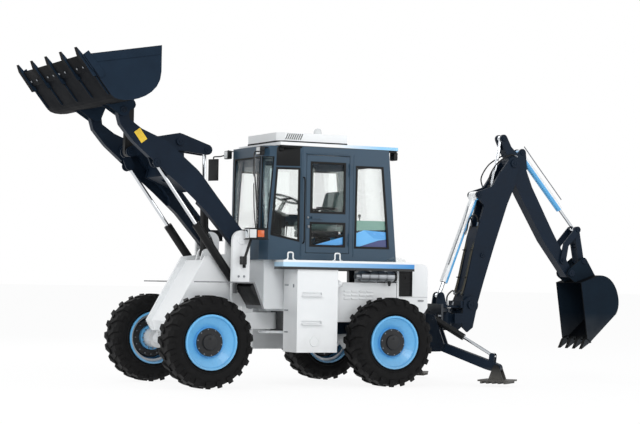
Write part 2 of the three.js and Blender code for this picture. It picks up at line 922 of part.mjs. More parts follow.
// ---------------------------------------------------------------- backhoe
const cheekInner = boomHalf + runningGap;
const cheekOuter = cheekInner + 32;
function swingPost() {
  const cheek = (y0, y1) =>
    join(
      sidePlate(
        [
          [swingX - 60, 752],
          [swingX - 60, 880],
          [-1490, 880],
          [-1500, 1040],
          [-1640, 1070],
          [-1700, 960],
          [-1640, 700],
          [-1560, 640],
          [-1490, 700],
          [-1485, 752],
        ],
        y0,
        y1,
      ),
      crossTube(boomPin, 108, y0, y1, 24),
    );
  const hub = join(
    uprightTube([swingX, 0], 78, kingLower[1] + faceGap, kingUpper[0] - faceGap),
    box(-1450, swingX, -70, 70, kingLower[1] + 25, kingUpper[0] - 25),
    box(-1450, -1420, -cheekOuter, cheekOuter, 760, 880),
  );
  const topZ = kingUpper[1] + runningGap;
  const top = [
    uprightTube([swingX, 0], 32, kingLower[0] - 20, topZ + 10),
    box(-1480, -1140, -95, 95, topZ, topZ + 28),
    box(-1485, -1455, -cheekOuter, cheekOuter, topZ, 1040),
  ];
  const ears = [42, -64].map((y) =>
    belt([[...boomCylinderLow, 52], [-1290, topZ + 20, 12], [-1155, topZ + 20, 12]], y, y + 22),
  );
  return join(
    cheek(cheekInner, cheekOuter),
    cheek(-cheekOuter, -cheekInner),
    hub,
    top,
    ears,
    crossTube(boomPin, 38, -cheekOuter - 10, cheekOuter + 10),
  );
}

const dipperSlot = stickHalf + runningGap;
function boom() {
  const run = [
    [...boomPin, 110],
    [-1700, 1330, 125],
    [-1830, 1800, 150],
    [-2010, 2350, 165],
    [-2150, 2600, 140],
    [...stickPin, 85],
  ];
  const skin = bentBeam(run, -boomHalf, boomHalf, 20);
  const inside = bentBeam(
    [
      [-1705, 1400, 95],
      [-1830, 1800, 122],
      [-2010, 2350, 138],
      [-2150, 2600, 112],
    ],
    -dipperSlot,
    dipperSlot,
    20,
  );
  const openTop = [
    [[-1768, 2050, 66], [-1840, 2500, 80], [-1900, 2950, 110], [-2120, 2700, 150]],
    [[-2120, 2560, 90], [...stickPin, 150], [-2460, 2700, 150], [-2300, 3100, 150]],
  ].map((circles) => belt(circles, -dipperSlot, dipperSlot, 16));
  const ears = [dipperSlot + 5, -boomHalf].map((y) =>
    belt([[...boomCylinderTop, 46], [-1900, 2250, 40], [-1930, 2480, 40]], y, y + boomSkin),
  );
  const shell = cut(skin, inside, openTop, bore(boomPin, 38, -boomHalf, boomHalf));
  return join(
    shell,
    ears,
    crossTube(boomCylinderTop, 26, -boomHalf, boomHalf),
    crossTube(dipperBase, 28, -dipperSlot - 5, dipperSlot + 5),
    crossTube(stickPin, 36, -boomHalf - 10, boomHalf + 10),
  );
}

function stick() {
  const run = [
    [-2310, 2830, 130],
    [-2470, 2500, 110],
    [-2830, 1900, 95],
    [...digPin, 58],
  ];
  const tail = [
    [...dipperTop, 50],
    [-2200, 3020, 55],
    [-2330, 2870, 80],
  ];
  const body = join(
    bentBeam(run, -stickHalf, stickHalf, 18),
    bentBeam(tail, -stickHalf, stickHalf, 14),
    belt([[...bucketCylinderBase, 52], [-2330, 2890, 40], [-2450, 2780, 40]], -stickHalf, stickHalf, 14),
    belt([[...rockerPin, 48], [-3000, 1640, 40]], -stickHalf, stickHalf, 14),
  );
  const slots = [
    belt([[...dipperTop, 90], [-2000, 3300, 90], [-1900, 2900, 90], [-2110, 3060, 60]], -42, 42, 14),
    belt([[...bucketCylinderBase, 82], [-2620, 3100, 90], [-2720, 2780, 90], [-2540, 2700, 70]], -52, 52),
  ];
  return join(
    cut(
      join(body, crossTube(digPin, 52, -digEar[0] + faceGap, digEar[0] - faceGap)),
      slots,
      bore(stickPin, 36, -stickHalf, stickHalf),
      bore(digPin, 30, -digEar[0], digEar[0]),
      bore(rockerPin, 24, -stickHalf, stickHalf),
    ),
    crossTube(bucketCylinderBase, 24, -stickHalf + 4, stickHalf - 4),
  );
}

function digBucket() {
  const half = digHalfWidth;
  const shape = (inset) => {
    const outline = new THREE.Shape();
    outline.moveTo(-3218 + inset * 2.5, 1300 - inset);
    outline.lineTo(-3516, 1400 - inset);
    outline.quadraticCurveTo(-3700, 1400 - inset, -3785 + inset, 1210);
    outline.quadraticCurveTo(-3860 + inset, 1020, -3780 + inset, 890);
    outline.lineTo(-3378 + inset * 0.4, 525 + inset * 1.4);
    outline.lineTo(-3325 + inset * 2.5, 560 + inset * 0.4);
    return outline;
  };
  const inside = sidePlate(shape(18), -half + 20, half - 20, 10);
  const shell = cut(sidePlate(shape(0), -half, half, 10), inside);
  const ear = belt([[...digPin, 62], [...digLinkPin, 52], [-3240, 1310, 10], [-3540, 1380, 20]], ...digEar);
  const teeth = [-1, -1 / 3, 1 / 3, 1].map((share) => {
    const y = share * (half - 50);
    return sidePlate(
      [
        [-3400, 510],
        [-3360, 500],
        [-3245, 425],
        [-3300, 545],
        [-3370, 590],
      ],
      y - 32,
      y + 32,
    );
  });
  const pin = crossTube(digPin, 30, -digEar[1] - 8, digEar[1] + 8);
  return join(shell, cut(join(bothSides(ear)), inside), teeth, pin);
}

const rockerPlates = [stickHalf + 6, stickHalf + 26];
function rocker() {
  const outline = [
    [...rockerPin, 46],
    [-3105, 1800, 42],
    [...rockerTop, 44],
  ];
  const plates = [rockerPlates[0], -rockerPlates[1]].map((y) =>
    bentBeam(outline, y, y + rockerPlates[1] - rockerPlates[0], 14),
  );
  const pin = crossTube(rockerPin, 24, -rockerPlates[1] - 6, rockerPlates[1] + 6);
  const stubs = bothSides(crossTube(rockerTop, 24, 44, rockerPlates[1]));
  return join(plates, pin, stubs);
}

function digLink() {
  const plates = [46, -72].map((y) => belt([[...rockerTop, 42], [...digLinkPin, 42]], y, y + 26, 16));
  const middle = [(rockerTop[0] + digLinkPin[0]) / 2, (rockerTop[1] + digLinkPin[1]) / 2];
  return cut(
    join(plates, crossTube(middle, 26, -50, 50)),
    bore(rockerTop, 24, -74, 74),
  );
}

// ---------------------------------------------------------------- stabilisers
function stabiliserLeg() {
  const beam = belt([[...legHinge, 52], [legReach - 130, footPin[1] + 40, 60]], -legHalf, legHalf, 18);
  const end = belt([[legReach - 130, footPin[1] + 40, 60], [...footPin, 52]], -legHalf, legHalf, 18);
  const lugs = [32, -50].map((y) =>
    belt([[...legCylinderEye, 34], [legReach - 70, footPin[1] + 20, 34]], y, y + 18, 14),
  );
  return onLeg(
    cut(join(beam, end, lugs), bore(legHinge, 28, -legHalf, legHalf), bore(footPin, 24, -legHalf, legHalf)),
  );
}

function stabiliserPad() {
  const plateTop = 85;
  const [fx, fz] = footPin;
  const lugs = [legHalf + 3, -legHalf - 21].map((y) =>
    belt([[fx, fz, 40], [fx - 90, plateTop - 10, 8], [fx + 90, plateTop - 10, 8]], y, y + 18, 16),
  );
  const cleats = [-150, -75, 0, 75, 150].map((x) => box(fx + x - 12, fx + x + 12, -190, 190, 38, 66));
  const plate = box(fx - 195, fx + 195, -190, 190, 65, plateTop);
  return onLeg(join(plate, lugs, cleats, crossTube(footPin, 24, -legHalf - 21, legHalf + 21)));
}

// ---------------------------------------------------------------- assembly
const at = ([x, z], y = 0) => [x, y, z];

piece(machine, "rear_frame", rearFrame(), materials.slate);
piece(machine, "rear_axle", axle(0, railBottom), materials.white);
piece(machine, "engine", engine(), materials.grey);
piece(machine, "rear_hood", rearHood(), materials.white);
piece(machine, "cab_frame", cabFrame(), materials.cab);
piece(machine, "cab_roof", cabRoof(), materials.white);
piece(machine, "operator_seat", operatorSeat(), materials.seat);
piece(machine, "steering_column", steeringColumn(), materials.black);
piece(machine, "air_cleaner", airCleaner(), materials.silver);
for (const [side, sign] of sides) {
  piece(machine, `platform_${side}`, onSide(platform(), sign), materials.blue);
  piece(machine, sign > 0 ? "fuel_tank" : "hydraulic_tank", onSide(tank(), sign), materials.white);
  const hinge = body(machine, `door_${side}`, [hingeX, sign * hingeY, 0]);
  piece(hinge, `cab_door_${side}`, onSide(door(), sign), materials.cab);
}
addWheels(machine, 0, "rear");

const front = body(machine, "front", [pivotX, 0, 0]);
piece(front, "front_frame", frontFrame(), materials.white);
piece(front, "front_axle", axle(frontAxleX, frontSeat), materials.white);
for (const [side, sign] of sides) {
  piece(front, `front_fender_${side}`, onSide(fender(), sign), materials.grey);
  piece(front, `headlight_${side}`, onSide(headlight(), sign), materials.black);
}
addWheels(front, frontAxleX, "front");

const arms = body(front, "loader_arms", at(armPivot));
piece(arms, "loader_arms", loaderArms(), materials.slate);
const bell = body(arms, "bellcrank", at(bellPivot));
piece(bell, "bellcrank", bellcrank(), materials.slate);
const bucket = body(arms, "loader_bucket", at(bucketPin));
piece(bucket, "loader_bucket", loaderBucket(), materials.slate);
const link = body(bucket, "bucket_link", at(bucketLinkPin));
piece(link, "bucket_link", bucketLink(), materials.black);

const liftRadius = 50;
for (const [side, sign] of sides) {
  const y = sign * liftY;
  const liftBody = body(front, `lift_barrel_${side}`, at(liftBase, y));
  const liftTube = barrel(liftBase, liftEye, 944, liftRadius, y, 100, 30);
  piece(liftBody, `lift_barrel_${side}`, liftTube, materials.black);
  const rodBody = body(liftBody, `lift_rod_${side}`, at(liftEye, y));
  piece(rodBody, `lift_rod_${side}`, rod(liftBase, liftEye, 884, liftRadius, y, 56), materials.chrome);
}
const tiltRadius = 50;
const tiltBody = body(front, "tilt_barrel", at(tiltBase));
piece(tiltBody, "tilt_barrel", barrel(tiltBase, bellRear, 780, tiltRadius, 0, 100, 28), materials.black);
const tiltRodBody = body(tiltBody, "tilt_rod", at(bellRear));
piece(tiltRodBody, "tilt_rod", rod(tiltBase, bellRear, 720, tiltRadius, 0, 66), materials.chrome);

const swing = body(machine, "swing_post", [swingX, 0, 0]);
piece(swing, "swing_post", swingPost(), materials.slate);
const boomBody = body(swing, "boom", at(boomPin));
piece(boomBody, "boom", boom(), materials.slate);
const stickBody = body(boomBody, "stick", at(stickPin));
piece(stickBody, "stick", stick(), materials.slate);
const digBody = body(stickBody, "dig_bucket", at(digPin));
piece(digBody, "dig_bucket", digBucket(), materials.slate);
const rockerBody = body(stickBody, "rocker", at(rockerPin));
piece(rockerBody, "rocker", rocker(), materials.slate);
const digLinkBody = body(rockerBody, "dig_link", at(rockerTop));
piece(digLinkBody, "dig_link", digLink(), materials.slate);

// Name, parent, base pin, rod's eye, then the barrel's length, the rod's stretch in it, the barrel's radius,
// its base width, its pin and the eye's width.
const backCylinders = [
  ["boom", boomBody, boomCylinderTop, boomCylinderLow, 1225, 500, 52, 2 * dipperSlot - 4, 26, 76],
  ["dipper", boomBody, dipperBase, dipperTop, 930, 130, 50, 120, 28, 72],
  ["dig", stickBody, bucketCylinderBase, rockerTop, 960, 350, 46, 92, 24, 72],
];
for (const [name, parent, base, eye, ...sizes] of backCylinders) {
  const [length, engaged, radius, baseWidth, pin, eyeWidth] = sizes;
  const barrelBody = body(parent, `${name}_barrel`, at(base));
  const tube = barrel(base, eye, length, radius, 0, baseWidth, pin);
  piece(barrelBody, `${name}_barrel`, tube, materials.blue);
  const rodBody = body(barrelBody, `${name}_rod`, at(eye));
  piece(rodBody, `${name}_rod`, rod(base, eye, length - engaged, radius, 0, eyeWidth), materials.chrome);
}

const legPoint = ([s, z]) => [
  stabiliserHinge[0] + legDirection[0] * s,
  stabiliserHinge[1] + legDirection[1] * s,
  z,
];
for (const [side, sign] of sides) {
  const here = (point) => {
    const [x, y, z] = legPoint(point);
    return [x, sign * y, z];
  };
  const leg = body(machine, `stabiliser_${side}`, here(legHinge));
  piece(leg, `stabiliser_leg_${side}`, onSide(stabiliserLeg(), sign), materials.slate);
  const pad = body(leg, `pad_${side}`, here(footPin));
  piece(pad, `stabiliser_pad_${side}`, onSide(stabiliserPad(), sign), materials.slate);
  const legBarrel = body(machine, `leg_barrel_${side}`, here(legCylinderBase));
  const tube = onLeg(barrel(legCylinderBase, legCylinderEye, 462, 42, 0, 100, 22));
  piece(legBarrel, `stabiliser_barrel_${side}`, onSide(tube, sign), materials.black);
  const legRod = body(legBarrel, `leg_rod_${side}`, here(legCylinderEye));
  const shaft = onLeg(rod(legCylinderBase, legCylinderEye, 436, 42, 0, 56));
  piece(legRod, `stabiliser_rod_${side}`, onSide(shaft, sign), materials.chrome);
}

// ---------------------------------------------------------------- place the finished group
const bounds = new THREE.Box3().setFromObject(machine);
machine.position.set(-(bounds.min.x + bounds.max.x) / 2, -(bounds.min.y + bounds.max.y) / 2, -bounds.min.z);
machine.updateMatrixWorld(true);

export default machine;
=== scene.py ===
"""The backhoe loader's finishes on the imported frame: paints, tyres, glass, seat, lamps and hoses."""

import math

import bpy
from mathutils import Matrix, Vector


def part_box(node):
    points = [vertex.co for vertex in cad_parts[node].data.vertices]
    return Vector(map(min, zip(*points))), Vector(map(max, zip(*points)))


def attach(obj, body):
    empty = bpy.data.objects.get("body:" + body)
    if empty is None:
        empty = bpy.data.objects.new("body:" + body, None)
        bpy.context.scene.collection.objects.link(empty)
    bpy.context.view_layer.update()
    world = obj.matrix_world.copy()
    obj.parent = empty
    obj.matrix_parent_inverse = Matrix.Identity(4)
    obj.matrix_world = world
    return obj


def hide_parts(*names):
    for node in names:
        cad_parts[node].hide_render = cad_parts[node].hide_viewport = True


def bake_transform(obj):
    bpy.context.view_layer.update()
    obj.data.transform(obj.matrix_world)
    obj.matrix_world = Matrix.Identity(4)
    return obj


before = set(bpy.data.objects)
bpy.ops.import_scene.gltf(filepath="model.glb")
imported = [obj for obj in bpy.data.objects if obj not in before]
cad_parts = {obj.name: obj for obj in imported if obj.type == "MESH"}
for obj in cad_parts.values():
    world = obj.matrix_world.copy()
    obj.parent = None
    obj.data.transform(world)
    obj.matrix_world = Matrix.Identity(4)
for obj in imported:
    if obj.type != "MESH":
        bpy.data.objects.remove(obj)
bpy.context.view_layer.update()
SIDES = (("left", 1), ("right", -1))


# ---------------------------------------------------------------- places
def middle(node):
    """The middle of a CAD node's box."""
    low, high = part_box(node)
    return (low + high) / 2


REAR_AXLE = middle("rear_tyre_left").x
TYRE_LOW, TYRE_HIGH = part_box("rear_tyre_left")
TYRE_RADIUS = (TYRE_HIGH.z - TYRE_LOW.z) * 500
TYRE_HALF = (TYRE_HIGH.y - TYRE_LOW.y) * 500


def at(x, y, z):
    """A place in the frame's metres: mm ahead of the rear axle, left of the middle and above the ground."""
    return Vector((REAR_AXLE + x / 1000, y / 1000, z / 1000))


def move(x, y, z):
    """A shift in mm, in the frame's metres."""
    return Vector((x, y, z)) / 1000


# ---------------------------------------------------------------- camera
YAW, PITCH, ROLL = (math.radians(a) for a in (27.1, 2.22, 0.93))
ahead = Vector((-math.sin(YAW) * math.cos(PITCH), -math.cos(YAW) * math.cos(PITCH), math.sin(PITCH)))
bpy.ops.object.camera_add(location=(10.907, 20.60, 1.22))
camera = bpy.context.object
camera.rotation_mode = "QUATERNION"
camera.rotation_quaternion = ahead.to_track_quat("-Z", "Y") @ Matrix.Rotation(ROLL, 3, "Z").to_quaternion()
camera.data.sensor_width = 36
camera.data.lens = 105.08
camera.data.clip_end = 500
bpy.context.scene.camera = camera


# ---------------------------------------------------------------- materials
def colour(hex_value):
    """An sRGB hex colour as the linear colour that a socket takes."""
    parts = [int(hex_value[i : i + 2], 16) / 255 for i in (1, 3, 5)]
    return tuple(c / 12.92 if c <= 0.04045 else ((c + 0.055) / 1.055) ** 2.4 for c in parts) + (1.0,)


def add(tree, kind, settings=None, **inputs):
    """Adds a node, sets its properties, and sets or links its inputs. An underscore stands for a space, and
    i0, i1 for an input by its number."""
    made = tree.nodes.new(kind)
    for name, value in (settings or {}).items():
        setattr(made, name, value)
    for name, value in inputs.items():
        by_number = name[0] == "i" and name[1:].isdigit()
        socket = made.inputs[int(name[1:]) if by_number else name.replace("_", " ")]
        if isinstance(value, bpy.types.NodeSocket):
            tree.links.new(value, socket)
        else:
            socket.default_value = value
    return made


def new_material(name):
    """An empty node material: its tree, its Object coordinates and its shader."""
    made = bpy.data.materials.new(name)
    made.use_nodes = True
    tree = made.node_tree
    tree.nodes.clear()
    place = add(tree, "ShaderNodeTexCoord").outputs["Object"]
    shader = add(tree, "ShaderNodeBsdfPrincipled")
    out = add(tree, "ShaderNodeOutputMaterial")
    tree.links.new(shader.outputs[0], out.inputs[0])
    return made, tree, place, shader


def per_mm(size):
    """The Scale of a pattern whose features are this many mm across."""
    return 1000 / size


def between(tree, factor, low, high):
    """Two colours mixed by a factor."""
    mix = add(tree, "ShaderNodeMix", {"data_type": "RGBA"}, i0=factor, i6=low, i7=high)
    return mix.outputs[2]


def ranged(tree, value, from_low, from_high, to_low, to_high):
    """A value carried from one range to another."""
    made = add(tree, "ShaderNodeMapRange", i0=value, i1=from_low, i2=from_high, i3=to_low, i4=to_high)
    return made.outputs[0]


def surface(tree, shader, place, grain_mm, bump_mm, rough_low, rough_high, patch_mm=220):
    """Unevenness that every finish shares: a fine grain in the bump, and patches in the roughness."""
    grain = add(tree, "ShaderNodeTexNoise", Vector=place, Scale=per_mm(grain_mm), Detail=3.0)
    bump = add(tree, "ShaderNodeBump", Strength=0.6, Distance=bump_mm / 1000, Height=grain.outputs["Fac"])
    patch = add(tree, "ShaderNodeTexNoise", Vector=place, Scale=per_mm(patch_mm), Detail=4.0)
    rough = ranged(tree, patch.outputs["Fac"], 0.3, 0.7, rough_low, rough_high)
    tree.links.new(bump.outputs[0], shader.inputs["Normal"])
    tree.links.new(rough, shader.inputs["Roughness"])
    return patch.outputs["Fac"]


def enamel(name, base, dusty, rough=(0.3, 0.42), coat=0.25, dust_top=900, gloss=0.5):
    """Sprayed enamel on steel plate: an orange peel 6 mm across, and road dust that thins out upwards."""
    made, tree, place, shader = new_material(name)
    patch = surface(tree, shader, place, 6, 0.12, *rough)
    height = add(tree, "ShaderNodeSeparateXYZ", Vector=place).outputs["Z"]
    low_down = ranged(tree, height, dust_top / 1000, 0.1, 0.0, 0.55)
    dust = add(tree, "ShaderNodeMath", {"operation": "MULTIPLY"}, i0=low_down, i1=patch).outputs[0]
    fade = between(tree, patch, colour(base), colour(dusty))
    tree.links.new(between(tree, dust, fade, colour("#8d8a84")), shader.inputs["Base Color"])
    shader.inputs["IOR"].default_value = 1.5
    shader.inputs["Specular IOR Level"].default_value = gloss
    shader.inputs["Coat Weight"].default_value = coat
    shader.inputs["Coat Roughness"].default_value = 0.2
    return made


def worn_edge_and_painted_sole_shade(name, base, dusty, start, end):
    """Enamel on the side plates, with painted shade that darkens the sole and every other face not turned
    sideways, rubbed by earth to steel from start to end.
    """
    made = enamel(name, base, dusty, (0.6, 0.75), 0.0, 900, 0.05)
    tree = made.node_tree
    shader = next(n for n in tree.nodes if n.type == "BSDF_PRINCIPLED")
    lookup = add(tree, "ShaderNodeTexCoord")
    place = lookup.outputs["Object"]
    along = (end - start).normalized()
    offset = add(tree, "ShaderNodeVectorMath", {"operation": "SUBTRACT"}, i0=place, i1=start)
    reach = add(tree, "ShaderNodeVectorMath", {"operation": "DOT_PRODUCT"}, i0=offset.outputs[0], i1=along)
    scratch = add(tree, "ShaderNodeTexNoise", Vector=place, Scale=per_mm(45), Detail=6.0)
    spread = ranged(tree, scratch.outputs["Fac"], 0.3, 0.7, -0.06, 0.06)
    ragged = add(tree, "ShaderNodeMath", {"operation": "ADD"}, i0=reach.outputs["Value"], i1=spread)
    bare = ranged(tree, ragged.outputs[0], 0.0, (end - start).length, 0.0, 1.0)
    # Painted shade: faces not turned sideways, the sole above all, are darkened to #090c11 for the shadow
    # under the bucket.
    sideways = add(tree, "ShaderNodeSeparateXYZ", Vector=lookup.outputs["Normal"]).outputs["Y"]
    flat_side = add(tree, "ShaderNodeMath", {"operation": "ABSOLUTE"}, i0=sideways).outputs[0]
    sole = ranged(tree, flat_side, 0.6, 0.4, 0.0, 1.0)
    painted = between(tree, sole, shader.inputs["Base Color"].links[0].from_socket, colour("#090c11"))
    worn = add(tree, "ShaderNodeMath", {"operation": "MULTIPLY"}, i0=bare, i1=sole).outputs[0]
    tree.links.new(between(tree, worn, painted, colour("#121314")), shader.inputs["Base Color"])
    tree.links.new(ranged(tree, worn, 0.0, 1.0, 0.0, 0.3), shader.inputs["Metallic"])
    return made


def split_enamel(name, first, second, through, direction, blur_mm=4):
    """Enamel in two colours split at a plane through a place: two-tone paint on the rear frame, and a
    painted highlight in white on the lit side of the blue cylinders. The direction points to the second
    colour.
    """
    made, tree, place, shader = new_material(name)
    surface(tree, shader, place, 6, 0.1, 0.26, 0.36)
    offset = add(tree, "ShaderNodeVectorMath", {"operation": "SUBTRACT"}, i0=place, i1=through)
    side = add(
        tree, "ShaderNodeVectorMath", {"operation": "DOT_PRODUCT"}, i0=offset.outputs[0],
        i1=direction.normalized()
    )
    share = ranged(tree, side.outputs["Value"], -blur_mm / 2000, blur_mm / 2000, 0.0, 1.0)
    tree.links.new(between(tree, share, colour(first), colour(second)), shader.inputs["Base Color"])
    shader.inputs["Coat Weight"].default_value = 0.3
    shader.inputs["Coat Roughness"].default_value = 0.15
    return made


def platform_enamel():
    """The running boards: a white upper edge, a blue band, deeper to the rear, and a black lower edge."""
    low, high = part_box("platform_left")
    made, tree, place, shader = new_material("striped_enamel_on_running_board")
    surface(tree, shader, place, 6, 0.1, 0.28, 0.38)
    split = add(tree, "ShaderNodeSeparateXYZ", Vector=place)
    rearward = ranged(tree, split.outputs["X"], high.x, low.x, 0.0, 1.0)
    blue = between(tree, rearward, colour("#b9dcf2"), colour("#2f86c9"))
    white_line = ranged(tree, split.outputs["Z"], high.z - 0.030, high.z - 0.022, 0.0, 1.0)
    black_line = ranged(tree, split.outputs["Z"], low.z + 0.034, low.z + 0.028, 0.0, 1.0)
    banded = between(tree, white_line, blue, colour("#e8ebed"))
    tree.links.new(between(tree, black_line, banded, colour("#0d1013")), shader.inputs["Base Color"])
    shader.inputs["Coat Weight"].default_value = 0.3
    return made


def roof_enamel():
    """The roof: white, its rim turning blue towards the rear, with a black band along its bottom that is
    partly a dark fascia and partly painted shade under the roof's edge.
    """
    low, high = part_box("cab_roof")
    made, tree, place, shader = new_material("striped_enamel_on_cab_roof")
    surface(tree, shader, place, 6, 0.1, 0.3, 0.4)
    split = add(tree, "ShaderNodeSeparateXYZ", Vector=place)
    rearward = ranged(tree, split.outputs["X"], high.x - 0.75, low.x + 0.25, 0.0, 1.0)
    rim = between(tree, rearward, colour("#e9ebec"), colour("#8cc6ee"))
    above = ranged(tree, split.outputs["Z"], low.z + 0.046, low.z + 0.047, 0.0, 1.0)
    # The black bottom band: partly a dark fascia, partly painted shade.
    below = ranged(tree, split.outputs["Z"], low.z + 0.008, low.z + 0.006, 0.0, 1.0)
    banded = between(tree, above, rim, colour("#e9ebec"))
    tree.links.new(between(tree, below, banded, colour("#0d1013")), shader.inputs["Base Color"])
    return made


def rubber(name, base, worn, rough=(0.62, 0.8), grain_mm=5, bump_mm=0.4, gloss=0.35):
    """Moulded black rubber: dull, finely pitted, and greyer where it is scuffed or dusty."""
    made, tree, place, shader = new_material(name)
    patch = surface(tree, shader, place, grain_mm, bump_mm, *rough, patch_mm=90)
    scuff = add(tree, "ShaderNodeTexNoise", Vector=place, Scale=per_mm(30), Detail=5.0)
    share = add(tree, "ShaderNodeMath", {"operation": "MULTIPLY"}, i0=patch, i1=scuff.outputs["Fac"])
    tree.links.new(between(tree, share.outputs[0], colour(base), colour(worn)), shader.inputs["Base Color"])
    shader.inputs["Specular IOR Level"].default_value = gloss
    return made


def metal(name, base, tint, rough, grain_mm=3, bump_mm=0.05, metallic=1.0):
    """Bare or plated metal, with faint patches in its shine."""
    made, tree, place, shader = new_material(name)
    patch = surface(tree, shader, place, grain_mm, bump_mm, *rough, patch_mm=60)
    tree.links.new(between(tree, patch, colour(base), colour(tint)), shader.inputs["Base Color"])
    shader.inputs["Metallic"].default_value = metallic
    return made


def cast_iron():
    """Sand-cast iron in grey primer: gritty, 8 mm coarse so that it shows, with oily dark patches."""
    made, tree, place, shader = new_material("primed_cast_iron")
    patch = surface(tree, shader, place, 8, 0.9, 0.5, 0.75)
    tree.links.new(between(tree, patch, colour("#4b4e51"), colour("#6a6d70")), shader.inputs["Base Color"])
    return made


def glass(name, base, deep, alpha):
    """Heat-absorbing cab glass: thin, clear, and green where it is seen at a slant."""
    made, tree, place, shader = new_material(name)
    haze = add(tree, "ShaderNodeTexNoise", Vector=place, Scale=per_mm(300), Detail=2.0)
    tree.links.new(ranged(tree, haze.outputs["Fac"], 0.3, 0.7, 0.02, 0.07), shader.inputs["Roughness"])
    tree.links.new(between(tree, haze.outputs["Fac"], colour(base), colour(deep)),
                   shader.inputs["Base Color"])
    shader.inputs["IOR"].default_value = 1.45
    shader.inputs["Transmission Weight"].default_value = 1.0
    shader.inputs["Alpha"].default_value = alpha
    made.surface_render_method = "BLENDED"
    return made


def lens(name, base, rough):
    """A moulded lamp lens, ribbed every 9 mm."""
    made, tree, place, shader = new_material(name)
    ribs = add(tree, "ShaderNodeTexWave", {"bands_direction": "Y"}, Vector=place, Scale=per_mm(9) / 20)
    bump = add(tree, "ShaderNodeBump", Strength=0.5, Distance=0.001, Height=ribs.outputs["Fac"])
    tree.links.new(bump.outputs[0], shader.inputs["Normal"])
    shader.inputs["Base Color"].default_value = colour(base)
    shader.inputs["Roughness"].default_value = rough
    shader.inputs["Transmission Weight"].default_value = 0.25
    shader.inputs["Coat Weight"].default_value = 0.6
    return made


def cloth():
    """Woven seat cloth: threads 4 mm apart, drawn coarser than real so that they show, with a soft sheen."""
    made, tree, place, shader = new_material("woven_seat_cloth")
    warp = add(tree, "ShaderNodeTexWave", {"bands_direction": "X"}, Vector=place, Scale=per_mm(4) / 20)
    weft = add(tree, "ShaderNodeTexWave", {"bands_direction": "Y"}, Vector=place, Scale=per_mm(4) / 20)
    weave = add(tree, "ShaderNodeMath", {"operation": "MULTIPLY"}, i0=warp.outputs["Fac"],
                i1=weft.outputs["Fac"])
    bump = add(tree, "ShaderNodeBump", Strength=0.7, Distance=0.0012, Height=weave.outputs[0])
    tree.links.new(bump.outputs[0], shader.inputs["Normal"])
    shade = add(tree, "ShaderNodeTexNoise", Vector=place, Scale=per_mm(70), Detail=4.0)
    tone = between(tree, shade.outputs["Fac"], colour("#24403f"), colour("#3d5f5d"))
    tree.links.new(between(tree, weave.outputs[0], tone, colour("#4d706d")), shader.inputs["Base Color"])
    shader.inputs["Roughness"].default_value = 0.85
    shader.inputs["Sheen Weight"].default_value = 0.3
    return made


white_enamel = enamel("white_enamel_on_sheet_steel", "#e9ebec", "#dfe2e4", dust_top=800)
slate_enamel = enamel("slate_enamel_on_plate", "#0e1824", "#172433", (0.38, 0.52), 0.0, 240, 0.11)
black_enamel = enamel("satin_black_enamel", "#08090b", "#111315", (0.42, 0.58), 0.0, 240, 0.25)
grey_enamel = enamel("grey_enamel_on_pressed_steel", "#6b6d70", "#787a7d", (0.4, 0.55), 0.05, 900, 0.35)
cab_enamel = enamel("blue_grey_enamel_on_cab", "#2c4254", "#354c5e", (0.3, 0.42), 0.06, 600, 0.35)
wheel_enamel = enamel("sky_blue_enamel_on_rim", "#6cb6e6", "#5aa6da", (0.3, 0.42), 0.2, 500)
tyre_rubber = rubber("tyre_rubber", "#060607", "#151516", gloss=0.2)
hose_rubber = rubber("braided_hose_rubber", "#0d0e10", "#1c1d1f", (0.5, 0.65), 3, 0.2)
seal_rubber = rubber("window_seal_rubber", "#070809", "#101113", (0.55, 0.7), 4, 0.1)
black_plastic = rubber("moulded_black_plastic", "#101214", "#1b1d20", (0.38, 0.5), 2.5, 0.08)
grey_plastic = rubber("moulded_grey_plastic", "#1e1f21", "#292a2c", (0.4, 0.55), 2.5, 0.08)
chrome = metal("hard_chrome_on_rod", "#d9dcdf", "#c3c7cc", (0.08, 0.16))
zinc = metal("zinc_plated_bolts", "#9a9ea3", "#7f8388", (0.3, 0.45))
aluminium = metal("dull_aluminium_can", "#b9bdc1", "#a3a8ad", (0.35, 0.5), 5, 0.2)
pipe_paint = metal("olive_steel_pipe", "#5a564a", "#46433a", (0.3, 0.5), 4, 0.1, 0.6)
mirror_glass = metal("mirror_glass", "#e4e8ea", "#dde2e5", (0.02, 0.05))
iron = cast_iron()
cab_glass = glass("tinted_safety_glass", "#e4f3ee", "#d6ebe4", 0.16)
corner_glass = glass("green_corner_glass", "#a5c6c9", "#98bbbf", 0.62)
clear_lens = lens("clear_lamp_lens", "#eef1f2", 0.1)
amber_lens = lens("amber_indicator_lens", "#e2641c", 0.15)
red_lens = lens("red_tail_lens", "#a5141a", 0.15)
seat_cloth = cloth()
platform_paint = platform_enamel()
roof_paint = roof_enamel()
# Both buckets carry painted shade on their soles and real wear at their cutting edges.
loader_bucket_paint = worn_edge_and_painted_sole_shade(
    "loader_bucket_enamel_worn_with_painted_sole_shade", "#17222f", "#202e3d", at(3905, 0, 3560), at(4040, 0, 3720)
)
dig_bucket_paint = worn_edge_and_painted_sole_shade(
    "digging_bucket_enamel_worn_with_painted_sole_shade", "#101923", "#18242f", at(-3470, 0, 640), at(-3330, 0, 490)
)
blue_film = enamel("blue_window_film", "#3f93d6", "#4f9fdc", (0.2, 0.3), 0.4)
sky_film = enamel("sky_window_film", "#63b2ea", "#58a9e4", (0.2, 0.3), 0.4)
sage_film = enamel("sage_window_film", "#6f978c", "#7ba297", (0.25, 0.35), 0.3)
navy_film = enamel("navy_window_film", "#27336b", "#2c3a75", (0.2, 0.3), 0.4)
yellow_film = enamel("yellow_marker_film", "#d9b31c", "#e2bf36", (0.3, 0.4), 0.2)

